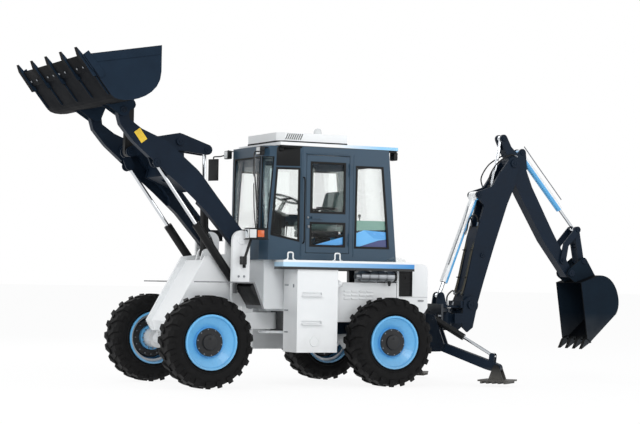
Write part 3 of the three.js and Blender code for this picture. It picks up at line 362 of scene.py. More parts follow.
PAINT = {
    "rear_frame": split_enamel(
        "rear_frame_in_slate_and_white", "#121b26", "#e4e7e9", at(1040, 0, 0), Vector((1, 0, 0)), 2
    ),
    "rear_axle": white_enamel, "engine": iron, "rear_hood": white_enamel,
    "cab_frame": cab_enamel, "cab_roof": roof_paint, "steering_column": black_plastic,
    "air_cleaner": aluminium, "fuel_tank": white_enamel, "hydraulic_tank": white_enamel,
    "front_frame": white_enamel, "front_axle": white_enamel, "loader_arms": slate_enamel,
    "bellcrank": slate_enamel, "bucket_link": black_enamel, "loader_bucket": loader_bucket_paint,
    "tilt_barrel": black_enamel, "tilt_rod": chrome, "swing_post": slate_enamel, "boom": slate_enamel,
    "stick": slate_enamel, "rocker": slate_enamel, "dig_link": slate_enamel, "dig_bucket": dig_bucket_paint,
    "boom_rod": chrome, "dipper_rod": chrome, "dig_rod": chrome, "dipper_barrel": black_enamel,
    # The boom and digging cylinders are blue; their white side, towards the lights, is a painted highlight.
    "boom_barrel": split_enamel(
        "boom_cylinder_blue_with_painted_highlight", "#e9ebec", "#58a9df", at(-1477, 0, 1754),
        Vector((-0.9285, 0, -0.371))
    ),
    "dig_barrel": split_enamel(
        "digging_cylinder_blue_with_painted_highlight", "#e9ebec", "#58a9df", at(-2855, 0, 2492),
        Vector((0.7495, 0, -0.662))
    ),
}
for side, _ in SIDES:
    PAINT[f"platform_{side}"] = platform_paint
    PAINT[f"cab_door_{side}"] = cab_enamel
    PAINT[f"front_fender_{side}"] = grey_enamel
    PAINT[f"headlight_{side}"] = black_plastic
    PAINT[f"lift_barrel_{side}"] = black_enamel
    PAINT[f"lift_rod_{side}"] = chrome
    PAINT[f"stabiliser_leg_{side}"] = slate_enamel
    PAINT[f"stabiliser_pad_{side}"] = black_enamel
    PAINT[f"stabiliser_barrel_{side}"] = black_enamel
    PAINT[f"stabiliser_rod_{side}"] = chrome
    for end in ("front", "rear"):
        PAINT[f"{end}_rim_{side}"] = wheel_enamel
for node, material in PAINT.items():
    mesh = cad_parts[node].data
    mesh.materials.clear()
    mesh.materials.append(material)


# ---------------------------------------------------------------- modelling
def fresh():
    """Back to object mode with nothing selected."""
    if bpy.context.object and bpy.context.object.mode != "OBJECT":
        bpy.ops.object.mode_set(mode="OBJECT")
    bpy.ops.object.select_all(action="DESELECT")


WELD = 1e-5  # metres, the gap under which two points are one


def edit():
    """Into edit mode with the whole mesh selected."""
    bpy.ops.object.mode_set(mode="EDIT")
    bpy.ops.mesh.select_all(action="SELECT")


def object_mode():
    """Back to object mode."""
    bpy.ops.object.mode_set(mode="OBJECT")


def apply_place():
    """Moves the place, turn and size of what is selected into its mesh."""
    bpy.ops.object.transform_apply(location=True, rotation=True, scale=True)


def finish(name, body, material, slot=None, smooth=35):
    """Names the piece that was just made, gives it its material, and lets it ride on its body."""
    made = bpy.context.object
    apply_place()
    made.name = made.data.name = name
    made.data.materials.clear()
    made.data.materials.append(material)
    bpy.ops.object.shade_smooth_by_angle(angle=math.radians(smooth))
    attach(made, body)
    return made


def block(low, high, bevel=3, segments=2):
    """A block with rounded edges between two corners, in mm on the machine."""
    fresh()
    a, b = at(*low), at(*high)
    bpy.ops.mesh.primitive_cube_add(size=1, location=(a + b) / 2)
    bpy.context.object.scale = [abs(v) for v in b - a]
    apply_place()
    edit()
    bpy.ops.mesh.bevel(offset=bevel / 1000, segments=segments)
    bpy.ops.mesh.select_all(action="SELECT")
    bpy.ops.mesh.remove_doubles(threshold=WELD)
    object_mode()
    return bpy.context.object


def plate(outline, through, bevel=0):
    """A plate from its outline of places in mm, extruded through a shift in mm."""
    fresh()
    bpy.ops.mesh.primitive_circle_add(vertices=len(outline), radius=1, fill_type="NGON")
    made = bpy.context.object
    for vertex, point in zip(made.data.vertices, outline):
        vertex.co = at(*point)
    edit()
    bpy.ops.mesh.extrude_region_move(TRANSFORM_OT_translate={"value": move(*through)})
    bpy.ops.mesh.select_all(action="SELECT")
    bpy.ops.mesh.normals_make_consistent(inside=False)
    if bevel:
        bpy.ops.mesh.bevel(offset=bevel / 1000, segments=2)
    object_mode()
    return made


def turned(profile, centre, axis, steps=24):
    """A turned piece: a closed profile of (radius, along) in mm, spun round the axis through the centre."""
    fresh()
    bpy.ops.mesh.primitive_circle_add(vertices=len(profile), radius=1, fill_type="NOTHING")
    made = bpy.context.object
    along = Vector(axis).normalized()
    out = along.orthogonal().normalized()
    for vertex, (radius, height) in zip(made.data.vertices, profile):
        vertex.co = centre + along * (height / 1000) + out * (radius / 1000)
    edit()
    bpy.ops.mesh.spin(steps=steps, angle=2 * math.pi, center=centre, axis=along)
    bpy.ops.mesh.select_all(action="SELECT")
    bpy.ops.mesh.remove_doubles(threshold=WELD)
    bpy.ops.mesh.dissolve_degenerate(threshold=WELD)
    bpy.ops.mesh.select_all(action="SELECT")
    bpy.ops.mesh.normals_make_consistent(inside=False)
    object_mode()
    return made


def joined(pieces):
    """Several new pieces as one mesh."""
    fresh()
    for piece in pieces:
        piece.select_set(True)
    bpy.context.view_layer.objects.active = pieces[0]
    if len(pieces) > 1:
        bpy.ops.object.join()
    return bpy.context.object


def mirrored(build, name, body, material, slot=None, smooth=35):
    """Builds a piece for the left with build(1), and for the right with build(-1)."""
    for side, sign in SIDES:
        build(sign)
        finish(f"{name}_{side}", body.format(side=side), material, slot, smooth)


def smooth_line(points, steps=6):
    """Points on a smooth line through the given ones."""
    found = []
    ends = [points[0] * 2 - points[1], *points, points[-1] * 2 - points[-2]]
    for a, b, c, d in zip(ends, ends[1:], ends[2:], ends[3:]):
        for k in range(steps):
            t = k / steps
            found.append(0.5 * (
                2 * b + (c - a) * t + (2 * a - 5 * b + 4 * c - d) * t * t
                + (3 * b - a - 3 * c + d) * t**3
            ))
    return found + [points[-1]]


def tube(points, radius, steps=6):
    """A round tube along a smooth line, as a mesh. Returns it and its line."""
    fresh()
    line = smooth_line([at(*p) for p in points], steps)
    curve = bpy.data.curves.new("tube", "CURVE")
    curve.dimensions = "3D"
    curve.bevel_depth = radius / 1000
    curve.bevel_resolution = 2
    curve.use_fill_caps = True
    spline = curve.splines.new("POLY")
    spline.points.add(len(line) - 1)
    for point, place in zip(spline.points, line):
        point.co = (*place, 1)
    made = bpy.data.objects.new("tube", curve)
    bpy.context.scene.collection.objects.link(made)
    made.select_set(True)
    bpy.context.view_layer.objects.active = made
    bpy.ops.object.convert(target="MESH")
    return bpy.context.object, line


def hose(name, body, points, radius=10, to=None):
    """A hydraulic hose with a crimped fitting at each end. With to, it stays where it is made and rides on
    no body.
    """
    made, line = tube(points, radius)
    fittings = []
    for end, nearby in ((line[0], line[1]), (line[-1], line[-2])):
        out = (nearby - end).normalized()
        fittings.append(
            turned([(0, -6), (radius * 1.5, -6), (radius * 1.5, 12), (radius * 1.2, 16), (radius * 1.2, 44),
                    (radius * 0.95, 48), (0, 48)], end, out, 6)
        )
    couplings = joined(fittings)
    apply_place()
    couplings.name = couplings.data.name = name + "_fittings"
    couplings.data.materials.append(zinc)
    fresh()
    made.select_set(True)
    bpy.context.view_layer.objects.active = made
    made.name = made.data.name = name
    made.data.materials.clear()
    made.data.materials.append(hose_rubber)
    bpy.ops.object.shade_smooth_by_angle(angle=math.radians(50))
    for piece in (made, couplings):
        if to:
            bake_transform(piece)
        else:
            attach(piece, body)
    return made


def pin_cap(x, y, z, radius, sign):
    """The end of a pin: a stepped cap with a bolt head, facing out along Y."""
    r = radius
    return turned(
        [(0, 0), (r, 0), (r, 9), (r * 0.94, 12), (r * 0.62, 12), (r * 0.6, 9), (r * 0.3, 9),
         (r * 0.3, 17), (0, 17)],
        at(x, y, z), (0, sign, 0), 24,
    )


def bolt_circle(centre, axis, radius, count, size, height):
    """Hexagon bolt heads standing on a circle."""
    along = Vector(axis).normalized()
    out = along.orthogonal().normalized()
    heads = []
    for k in range(count):
        spot = centre + Matrix.Rotation(2 * math.pi * k / count, 3, along) @ out * (radius / 1000)
        heads.append(turned([(0, 0), (size, 0), (size, height * 0.8), (size * 0.8, height),
                             (0, height)], spot, along, 6))
    return joined(heads)


# ---------------------------------------------------------------- tyres
LUGS = 22  # in each row
TREAD = 19  # mm, the height of a lug in the middle of the tread
BEAD = 320.5  # mm, the radius where the tyre sits on its rim


def ring(profile, centre, steps=64):
    """A piece turned about an axle, its profile as (radius, along)."""
    return turned(profile, centre, (0, 1, 0), steps)


def tyre(centre):
    """A traction tyre: a ribbed carcass, and two rows of slanted lugs that wrap over the shoulders."""
    base, half, bead = TYRE_RADIUS - TREAD, TYRE_HALF, BEAD
    profile = [
        (bead, -half * 0.8), (bead + 22, -half * 0.86), (bead + 26, -half * 0.93),
        (bead + 34, -half * 0.93), (bead + 42, -half * 0.9), (bead + 85, -half * 0.985),
        (bead + 120, -half * 0.97), (base - 36, -half * 0.86), (base - 8, -half * 0.7), (base, -half * 0.4),
        (base + 2, 0), (base, half * 0.4), (base - 8, half * 0.7), (base - 36, half * 0.86),
        (bead + 120, half * 0.97), (bead + 85, half * 0.985), (bead + 42, half * 0.9),
        (bead + 34, half * 0.93), (bead + 26, half * 0.93), (bead + 22, half * 0.86), (bead, half * 0.8),
    ]
    carcass = ring(profile, centre)
    rows = []
    step = 2 * math.pi / LUGS
    for sign in (1, -1):
        fresh()
        bpy.ops.mesh.primitive_cube_add(size=1, location=(0, 0, 0))
        lug = bpy.context.object
        edit()
        bpy.ops.mesh.subdivide(number_cuts=3)
        object_mode()
        for vertex in lug.data.vertices:
            u, v, w = vertex.co.x + 0.5, vertex.co.y + 0.5, vertex.co.z + 0.5
            across = 8 + u * (half - 8)
            drop = max(0.0, u - 0.72) / 0.28
            top = TYRE_RADIUS - 50 * drop**1.6
            bottom = base - 12 - 62 * drop
            radius = bottom + (top - bottom) * w
            width = (0.38 + 0.16 * u) * (1 - 0.18 * w)
            turn = (0.5 * (1 - u) ** 1.2 + (v - 0.5) * width + (0.25 if sign < 0 else -0.25)) * step
            out = Vector((math.sin(turn) * radius, sign * min(across, half * 0.995),
                          math.cos(turn) * radius)) / 1000
            vertex.co = centre + out
        edit()
        bpy.ops.mesh.normals_make_consistent(inside=False)
        bpy.ops.mesh.spin(steps=LUGS, angle=2 * math.pi, center=centre, axis=(0, 1, 0), dupli=True)
        bpy.ops.mesh.select_all(action="SELECT")
        bpy.ops.mesh.remove_doubles(threshold=WELD)
        object_mode()
        rows.append(lug)
    return joined([carcass, *rows])


def hub_cover(centre, sign):
    """The dark cover in the middle of a wheel, with a drain plug; the rim of bolts round it is made apart.
    """
    out = (0, sign, 0)
    face = centre + Vector((0, sign * 0.1005, 0))
    cover = turned(
        [(0, 0), (163, 0), (163, 14), (157, 20), (140, 20), (136, 17), (92, 17), (86, 38),
         (78, 42), (0, 42)],
        face, out, 40,
    )
    plug = turned([(0, 40), (13, 40), (13, 50), (10, 52), (0, 52)], face + Vector((0, 0, 0.045)), out, 6)
    return joined([cover, plug])


for end in ("rear", "front"):
    for side, sign in SIDES:
        centre = middle(f"{end}_tyre_{side}")
        body = f"{end}_wheel_{side}"
        tyre(centre)
        made = finish(f"{end}_tread_tyre_{side}", body, tyre_rubber, "tyre_rubber", 30)
        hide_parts(f"{end}_tyre_{side}")
        hub_cover(centre, sign)
        finish(f"{end}_hub_cover_{side}", body, grey_plastic)
        bolt_circle(centre + Vector((0, sign * 0.112, 0)), (0, sign, 0), 150, 10, 9, 12)
        finish(f"{end}_hub_bolts_{side}", body, zinc)
        ring([(262, -7), (300, -7), (300, 7), (262, 7)], centre - Vector((0, sign * 0.111, 0)), 48)
        finish(f"{end}_brake_ring_{side}", body, aluminium)
        turned([(156, 28), (236, 28), (242, 12), (242, -42), (230, -54), (156, -54)],
               centre, (0, sign, 0), 40)
        finish(f"{end}_brake_drum_{side}", body, grey_plastic)
        bolt_circle(centre - Vector((0, sign * 0.054, 0)), (0, -sign, 0), 206, 16, 9, 12)
        finish(f"{end}_drum_bolts_{side}", body, zinc)
        bolt_circle(centre - Vector((0, sign * 0.118, 0)), (0, -sign, 0), 132, 16, 10, 14)
        finish(f"{end}_axle_bolts_{side}", "front" if end == "front" else "machine", zinc)


# ---------------------------------------------------------------- cab windows and doors
def window(name, outline, out, body, glass_depth=16, seal=26, proud=3, pane=cab_glass):
    """A pane in its opening, and a rubber seal round it. The outline is on the wall, and out points away."""
    out = Vector(out).normalized()
    back = -out * glass_depth
    centre = sum((Vector(p) for p in outline), Vector()) / len(outline)
    start = [tuple(Vector(p) + back) for p in outline]
    plate(start, tuple(-out * 5))
    finish(f"{name}_glass", body, pane, smooth=20)
    fresh()
    bpy.ops.mesh.primitive_circle_add(vertices=len(outline), radius=1, fill_type="NGON")
    made = bpy.context.object
    for vertex, point in zip(made.data.vertices, outline):
        away = (Vector(point) - centre).normalized() * 9
        vertex.co = at(*(Vector(point) + away + out * proud))
    edit()
    bpy.ops.mesh.inset(thickness=seal / 1000, use_even_offset=True)
    bpy.ops.mesh.delete(type="FACE")
    bpy.ops.mesh.select_all(action="SELECT")
    bpy.ops.mesh.extrude_region_move(TRANSFORM_OT_translate={"value": move(*(-out * (glass_depth - 1)))})
    bpy.ops.mesh.select_all(action="SELECT")
    bpy.ops.mesh.normals_make_consistent(inside=False)
    object_mode()
    finish(f"{name}_seal", body, seal_rubber)


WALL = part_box("cab_roof")[1].y * 1000
for side, s in SIDES:
    out = (0, s, 0)
    y = s * WALL
    window(f"rear_quarter_{side}", [(-140, y, 1670), (340, y, 1670), (330, y, 2660),
                                    (-45, y, 2660)], out, "machine")
    window(f"door_upper_{side}", [(475, y, 2080), (945, y, 2080), (945, y, 2690), (475, y, 2690)],
           out, f"door_{side}")
    window(f"door_lower_{side}", [(475, y, 1675), (945, y, 1675), (945, y, 1965), (475, y, 1965)],
           out, f"door_{side}")
    slant = Vector((0.2425, 0.9701 * s, 0))
    window(
        f"front_quarter_{side}",
        [(1085, s * 590, 1732), (1420, s * 506, 1805), (1368, s * 519, 2606), (1085, s * 590, 2606)],
        slant, "machine",
    )
    corner = Vector((0.78, 0.62 * s, 0))
    window(
        f"corner_{side}",
        [(1458, s * 495, 1865), (1516, s * 415, 1865), (1510, s * 415, 2735), (1397, s * 511, 2735)],
        corner, "machine", 10, 12, 3, corner_glass,
    )
    films = (
        ("quarter_film_sage", "machine", sage_film,
         [(-170, 1900), (337, 1880), (336, 2005), (-122, 2005)], 17),
        ("quarter_film_sky", "machine", sky_film,
         [(-136, 1672), (338, 1672), (336, 1841), (200, 1890), (-98, 1872), (-120, 1780)], 15),
        ("quarter_film_blue", "machine", blue_film,
         [(-104, 1870), (200, 1889), (60, 1790), (-114, 1782)], 13),
        ("quarter_film_navy", "machine", navy_film,
         [(-134, 1673), (312, 1673), (0, 1768), (-116, 1782)], 11),
        ("door_film_blue", f"door_{side}", blue_film, [(480, 1680), (925, 1680), (480, 1802)], 15),
        ("door_film_navy", f"door_{side}", navy_film, [(480, 1679), (690, 1679), (480, 1712)], 13),
    )
    for name, body, film, outline, depth in films:
        plate([(x, y - s * depth, z) for x, z in outline], (0, -s * 1.5, 0))
        finish(f"{name}_{side}", body, film)
    header = [(1088, s * 590.7, 2632), (1372, s * 519.7, 2632), (1366, s * 521.2, 2850),
              (1088, s * 590.7, 2850)]
    plate([tuple(Vector(p) - slant) for p in header], tuple(slant * 5), 1)
    finish(f"front_header_{side}", "machine", black_enamel)

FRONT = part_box("cab_frame")[1].x
front_x = (FRONT - REAR_AXLE) * 1000
window("windscreen", [(front_x - 6, -368, 1862), (front_x - 6, 368, 1862), (front_x - 22, 368, 2738),
                      (front_x - 22, -368, 2738)], (1, 0, 0.018), "machine", 14, 18)
window("rear_window", [(-209, 458, 1902), (-209, -458, 1902), (-138, -458, 2698), (-138, 458, 2698)],
       (-0.996, 0, 0.089), "machine", 16, 22)


def door_lock(s):
    """The door's push-button lock, and the catch under it."""
    y = s * WALL
    return joined([
        turned([(0, 0), (13, 0), (13, 5), (9, 9), (0, 9)], at(975, y, 2020), (0, s, 0), 16),
        block((958, y, 1895), (982, y + s * 16, 1925), 4),
    ])


mirrored(door_lock, "door_lock", "door_{side}", zinc)


def grab_rail(s):
    """The upright rail beside the door."""
    y = s * (WALL + 2)
    rail, _ = tube([(1042, y, 2500), (1042, y + s * 36, 2470), (1042, y + s * 38, 2300),
                    (1042, y + s * 38, 1900), (1042, y + s * 36, 1740), (1042, y, 1710)], 9)
    return rail


mirrored(grab_rail, "grab_rail", "machine", black_enamel)


def door_lines(s):
    """The drip moulding over the door, and the pressed seams behind and ahead of it."""
    y = s * WALL
    return joined([
        block((408, y - s, 2782), (1012, y + s * 14, 2794), 4),
        block((352, y - s, 1560), (364, y + s * 5, 2800), 2),
        block((1062, y - s, 1560), (1072, y + s * 4, 2800), 2),
    ])


mirrored(door_lines, "cab_mouldings", "machine", cab_enamel, "cab_paint")


BOARD_TOP = 1504  # mm, the tread of the running boards


def staple_handle(s):
    """The two white step handles that stand on a running board, each foot on a small plate."""
    parts = []
    for x in (663, 1290):
        line = [(x - 46, 4), (x - 34, 26), (x - 34, 68), (x - 24, 88), (x + 24, 88), (x + 34, 68),
                (x + 34, 26), (x + 46, 4)]
        parts.append(tube([(px, s * 780, BOARD_TOP + up) for px, up in line], 9)[0])
        for foot in (x - 48, x + 48):
            parts.append(block((foot - 16, s * 764, BOARD_TOP), (foot + 16, s * 796, BOARD_TOP + 6), 2, 1))
    return joined(parts)


mirrored(staple_handle, "staple_handle", "machine", white_enamel, "white_paint")


def board_grip(s):
    """Raised grip bars on the running board, outside the door."""
    return joined([
        block((x, s * 625, BOARD_TOP), (x + 12, s * 800, BOARD_TOP + 5), 2, 1) for x in range(440, 1000, 44)
    ])


mirrored(board_grip, "board_grip", "machine", black_enamel)

# ---------------------------------------------------------------- inside the cab
floor_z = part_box("operator_seat")[0].z * 1000


def cushion(low, high, crown, lean=None):
    """A stuffed cushion in its box: rounded, crowned, pulled in at its corners, with two sewn channels."""
    made = block(low, high, 34, 3)
    edit()
    bpy.ops.mesh.subdivide(number_cuts=2)
    object_mode()
    a, b = at(*low), at(*high)
    centre, half = (a + b) / 2, (b - a) / 2
    half = Vector([abs(v) for v in half])
    thin = min(range(3), key=lambda i: half[i])
    wide = [i for i in range(3) if i != thin]
    for vertex in made.data.vertices:
        r = [(vertex.co[i] - centre[i]) / half[i] for i in range(3)]
        bulge = (1 - r[wide[0]] ** 2) * (1 - r[wide[1]] ** 2)
        groove = max(0.0, 1 - abs(abs(r[1]) - 0.55) / 0.08)
        if abs(r[thin]) > 0.5:
            vertex.co[thin] += math.copysign(crown / 1000 * bulge - 0.008 * groove, r[thin])
        for i in wide:
            other = wide[0] if i == wide[1] else wide[1]
            vertex.co[i] -= math.copysign(0.014 * (1 - (1 - r[other] ** 2)), r[i]) * abs(r[i]) ** 3
    if lean:
        turn = Matrix.Rotation(lean, 4, "Y")
        foot = Vector((centre.x, centre.y, a.z))
        for vertex in made.data.vertices:
            vertex.co = foot + turn @ (vertex.co - foot)
    modifier = made.modifiers.new("rounding", "SUBSURF")
    modifier.levels = modifier.render_levels = 1
    bpy.ops.object.modifier_apply(modifier="rounding")
    return made


def swell(made, cap=0.012):
    """Swells a cushion with a short cloth simulation, and keeps each point near where it was."""
    remesh = made.modifiers.new("even", "REMESH")
    remesh.mode, remesh.voxel_size = "VOXEL", 0.012
    bpy.ops.object.modifier_apply(modifier="even")
    start = [v.co.copy() for v in made.data.vertices]
    sim = made.modifiers.new("stuffing", "CLOTH")
    sim.settings.use_pressure = True
    sim.settings.uniform_pressure_force = 4
    sim.settings.quality = 5
    sim.settings.effector_weights.gravity = 0
    for number in range(1, 15):
        bpy.context.scene.frame_set(number)
    bpy.ops.object.modifier_apply(modifier="stuffing")
    for vertex, first in zip(made.data.vertices, start):
        shift = vertex.co - first
        if shift.length > cap:
            vertex.co = first + shift.normalized() * cap
    bpy.context.scene.frame_set(1)


seat_top = floor_z + 450
for name, low, high, lean in (
    ("seat_cushion", (345, -225, seat_top - 110), (800, 225, seat_top - 6), None),
    ("seat_back", (330, -215, seat_top + 10), (430, 215, 2395), math.radians(-14)),
):
    made = cushion(low, high, 8, lean)
    swell(made)
    fresh()
    made.select_set(True)
    bpy.context.view_layer.objects.active = made
    made = finish(name, "machine", seat_cloth, "seat_cloth", 60)
    if name == "seat_cushion":
        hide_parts("operator_seat")
parts = [
    block((380, -180, floor_z), (680, 180, floor_z + 60), 12),
    block((420, -140, floor_z + 58), (640, 140, floor_z + 260), 30, 3),
    block((350, -215, floor_z + 255), (760, 215, floor_z + 336), 16),
    plate([(320, -212, seat_top - 60), (345, -212, seat_top - 60), (225, -212, 2380), (205, -212, 2380)],
          (0, 424, 0), 6),
]
joined(parts)
finish("seat_base", "machine", black_plastic, smooth=40)
for side, s in SIDES:
    block((400, s * 236, seat_top + 130), (690, s * 292, seat_top + 172), 16, 3)
    finish(f"arm_rest_{side}", "machine", black_plastic)
    tube([(350, s * 262, seat_top - 40), (352, s * 264, seat_top + 90), (430, s * 264, seat_top + 140)], 14)
    finish(f"arm_rest_bracket_{side}", "machine", black_plastic)


def lever(points, knob):
    """A control lever: its stem through the points, and a round knob."""
    stem, _ = tube(points, 7)
    ball = turned([(0, -22), (9, -20), (17, -8), (19, 4), (15, 16), (6, 22), (0, 23)],
                  at(*knob), (0, 0, 1), 16)
    return joined([stem, ball])


lever([(1080, -150, 1900), (1040, -200, 2050), (1030, -215, 2170)], (1030, -215, 2182))
finish("forward_reverse_lever", "machine", black_plastic)
lever([(820, -320, floor_z), (815, -322, 1800), (800, -325, 1960)], (800, -325, 1975))
finish("loader_lever", "machine", black_plastic)
for side, s in reversed(SIDES):
    lever([(40, s * 200, floor_z), (45, s * 200, 1800), (60, s * 200, 2060)], (60, s * 200, 2075))
    finish(f"backhoe_lever_{side}", "machine", black_plastic)
joined([
    block((20, -330, floor_z), (150, 330, floor_z + 260), 20, 3),
    block((25, -300, floor_z + 255), (140, 300, floor_z + 300), 10),
])
finish("backhoe_console", "machine", grey_plastic)
for x, y in ((1180, 170), (1180, 230), (1190, -180)):
    joined([
        block((x - 40, y - 28, floor_z + 78), (x + 40, y + 28, floor_z + 88), 4),
        tube([(x, y, floor_z + 80), (x + 50, y, floor_z + 50), (x + 70, y, floor_z)], 7)[0],
    ])
    finish(f"pedal_{x}_{y + 300}", "machine", black_plastic)
joined([turned([(0, 0), (34, 0), (34, 6), (28, 9), (0, 9)], at(1108 - 6 * k, -60 + 60 * k, 2098 + 4 * k),
               (-0.5, 0, 0.86), 20) for k in range(3)])
finish("dash_dials", "machine", clear_lens)

# ---------------------------------------------------------------- roof, lamps, wiper, mirrors
ROOF_LOW, ROOF_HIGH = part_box("cab_roof")
cap_z = ROOF_HIGH.z * 1000


def vent_slats():
    """Slanted slats of the roof's air intake, on both sides of the cap near its front."""
    slats = []
    for k in range(8):
        x = 1000 + k * 28
        slope = [(x, cap_z - 12), (x + 10, cap_z - 12), (x + 44, cap_z - 84), (x + 34, cap_z - 84)]
        for s in (1, -1):
            slats.append(plate([(px, s * 479, z) for px, z in slope], (0, s * 5, 0)))
    return joined(slats)


vent_slats()
finish("roof_vent_slats", "machine", black_plastic)
turned([(0, 0), (62, 0), (62, 14), (52, 18), (50, 60), (44, 92), (30, 108), (0, 112)],
       at(560, 0, cap_z + 0.5), (0, 0, 1), 28)
finish("roof_beacon", "machine", clear_lens)


def cap_gap_shade(s):
    """A black strip in the gap under the roof's cap, along the side, round the corner and over the front:
    painted shade in the gap.
    """
    low, high = cap_z - 125, cap_z - 99
    return joined([
        block((396, s * 478, low), (1238, s * 485, high), 2, 1),
        plate([(1238, s * 478, low), (1238, s * 485, low), (1325, s * 402, low), (1320, s * 396, low)],
              (0, 0, high - low)),
        block((1317, 0, low), (1325, s * 402, high), 2, 1),
    ])


mirrored(cap_gap_shade, "roof_cap_gap_shade", "machine", seal_rubber)
eaves_z = ROOF_LOW.z * 1000


def eaves(s):
    """The black band under the roof's edge: partly a dark fascia, partly painted shade under the edge."""
    return joined([
        block((-236, s * 570, eaves_z - 22), (1340, s * 596, eaves_z - 1), 4),
        block((1290, s * 30, eaves_z - 60), (1350, s * 560, eaves_z - 1), 8),
    ])


mirrored(eaves, "roof_eaves", "machine", black_enamel)


def front_lamp(x, y, z):
    """A square work lamp's housing, with the clip that holds it to its bracket."""
    shell = block((x - 62, y - 58, z - 52), (x, y + 58, z + 52), 12, 3)
    clip = block((x - 40, y - 14, z + 36), (x - 30, y + 14, z + 60), 2, 1)
    return joined([shell, clip])


def rear_lamp(x, y, z):
    """A square work lamp's housing, hollowed for its lens, with the foot that holds it under the eaves."""
    shell = block((x + 55, y - 58, z - 52), (x, y + 58, z + 52), 12, 3)
    edit()
    bpy.ops.mesh.select_all(action="DESELECT")
    object_mode()
    for face in shell.data.polygons:
        face.select = face.normal.x < -0.99 and face.area > 0.004
    bpy.ops.object.mode_set(mode="EDIT")
    bpy.ops.mesh.inset(thickness=0.006)
    bpy.ops.mesh.extrude_region_move(TRANSFORM_OT_translate={"value": move(8, 0, 0)})
    object_mode()
    foot = block((x + 40, y - 14, z + 50), (x + 20, y + 14, eaves_z + 2), 2, 1)
    return joined([shell, foot])


for side, s in SIDES:
    x, y, z = 1590, s * 470, eaves_z - 68
    block((1300, y - 16, z + 40), (1545, y + 16, z + 50), 3)
    finish(f"front_lamp_{side}_bracket", "machine", black_enamel)
    front_lamp(x, y, z)
    finish(f"front_lamp_{side}", "machine", black_plastic)
    block((x - 1, y - 48, z - 42), (x + 5, y + 48, z + 42), 4, 2)
    finish(f"front_lamp_{side}_lens", "machine", clear_lens)
for side, s in SIDES:
    x, y, z = -262, s * 520, eaves_z - 60
    rear_lamp(x, y, z)
    finish(f"rear_lamp_{side}", "machine", black_plastic)
    block((x - 5, y - 48, z - 42), (x + 1, y + 48, z + 42), 4, 2)
    finish(f"rear_lamp_{side}_lens", "machine", clear_lens)


def wiper():
    """One arm and blade, swept over the windscreen."""
    arm, _ = tube([(front_x + 6, 330, 1845), (front_x + 20, 300, 2100), (front_x + 14, 262, 2420)], 6)
    blade = plate([(front_x - 6, 352, 2080), (front_x - 6, 340, 2080), (front_x - 10, 210, 2700),
                   (front_x - 10, 222, 2700)],
                  (14, 0, 0), 2)
    motor = turned([(0, -6), (26, -6), (26, 18), (18, 26), (0, 26)],
                   at(front_x - 4, 330, 1845), (1, 0, 0), 20)
    return joined([arm, blade, motor])


wiper()
finish("windscreen_wiper", "machine", black_plastic)


def mirror_arm(s):
    """The bent tube that carries a mirror ahead of the cab."""
    arm, _ = tube([(1545, s * 530, eaves_z - 60), (1620, s * 570, eaves_z - 84),
                   (1690, s * 600, eaves_z - 92), (1694, s * 599, eaves_z - 128)], 8)
    return arm


mirrored(mirror_arm, "mirror_arm", "machine", black_enamel)
for side, s in SIDES:
    facing = Vector((-0.89, s * 0.456, 0))
    along = Vector((s * 0.456, 0.89, 0)) * 78
    top, bottom = (Vector((1690, s * 600, eaves_z - z)) for z in (118, 388))
    corners = [bottom - along, bottom + along, top + along, top - along]
    plate([tuple(c) for c in corners], tuple(-facing * 16), 5)
    finish(f"mirror_shell_{side}", "machine", black_plastic)
    inset = [c + (top + bottom - 2 * c) * 0.06 for c in corners]
    plate([tuple(c + facing * 2) for c in inset], tuple(-facing * 3))
    finish(f"mirror_face_{side}", "machine", mirror_glass)

# ---------------------------------------------------------------- headlights and tail lights
for side, s in SIDES:
    y = s * 655
    block((1798, y - 58, 1750), (1806, y + 58, 1860), 5, 3)
    finish(f"headlight_lens_{side}", "front", clear_lens)
    turned([(0, 0), (44, 0), (44, 5), (34, 8), (12, 4), (0, 4)], at(1805, y, 1805), (1, 0, 0), 28)
    finish(f"headlight_bowl_{side}", "front", mirror_glass)
    block((1712, s * 718, 1756), (1798, s * 727, 1856), 6, 3)
    finish(f"headlight_side_lens_{side}", "front", clear_lens)
    block((1612, s * 719, 1766), (1698, s * 729, 1846), 4, 2)
    finish(f"indicator_lens_{side}", "front", amber_lens)
    joined([
        block((1548, s * 584, 1866), (1812, s * 730, 1872), 2, 1),
        block((1548, s * 584, 1736), (1812, s * 730, 1743), 2, 1),
        block((1701, s * 719, 1745), (1709, s * 729, 1866), 2, 1),
    ])
    finish(f"headlight_guard_{side}", "front", black_enamel)
    block((-704, s * 470, 1130), (-698, s * 560, 1280), 3, 2)
    finish(f"tail_lens_{side}", "machine", red_lens)
    block((-703, s * 470, 1290), (-698, s * 560, 1350), 3, 2)
    finish(f"tail_indicator_{side}", "machine", amber_lens)

# ---------------------------------------------------------------- hood, tanks, air cleaner
HOOD_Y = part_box("rear_hood")[1].y * 1000


def louvres(s):
    """Three rows of pressed louvres in the hood's side."""
    rows = []
    for row in range(3):
        for column in range(4):
            x, z = 70 + column * 105, 1065 + row * 46
            rows.append(plate([(x, s * (HOOD_Y - 1), z), (x + 92, s * (HOOD_Y - 1), z),
                               (x + 86, s * (HOOD_Y + 9), z - 4),
                               (x + 6, s * (HOOD_Y + 9), z - 4)], (0, 0, -20), 2))
    return joined(rows)


mirrored(louvres, "hood_louvres", "machine", white_enamel, "white_paint")


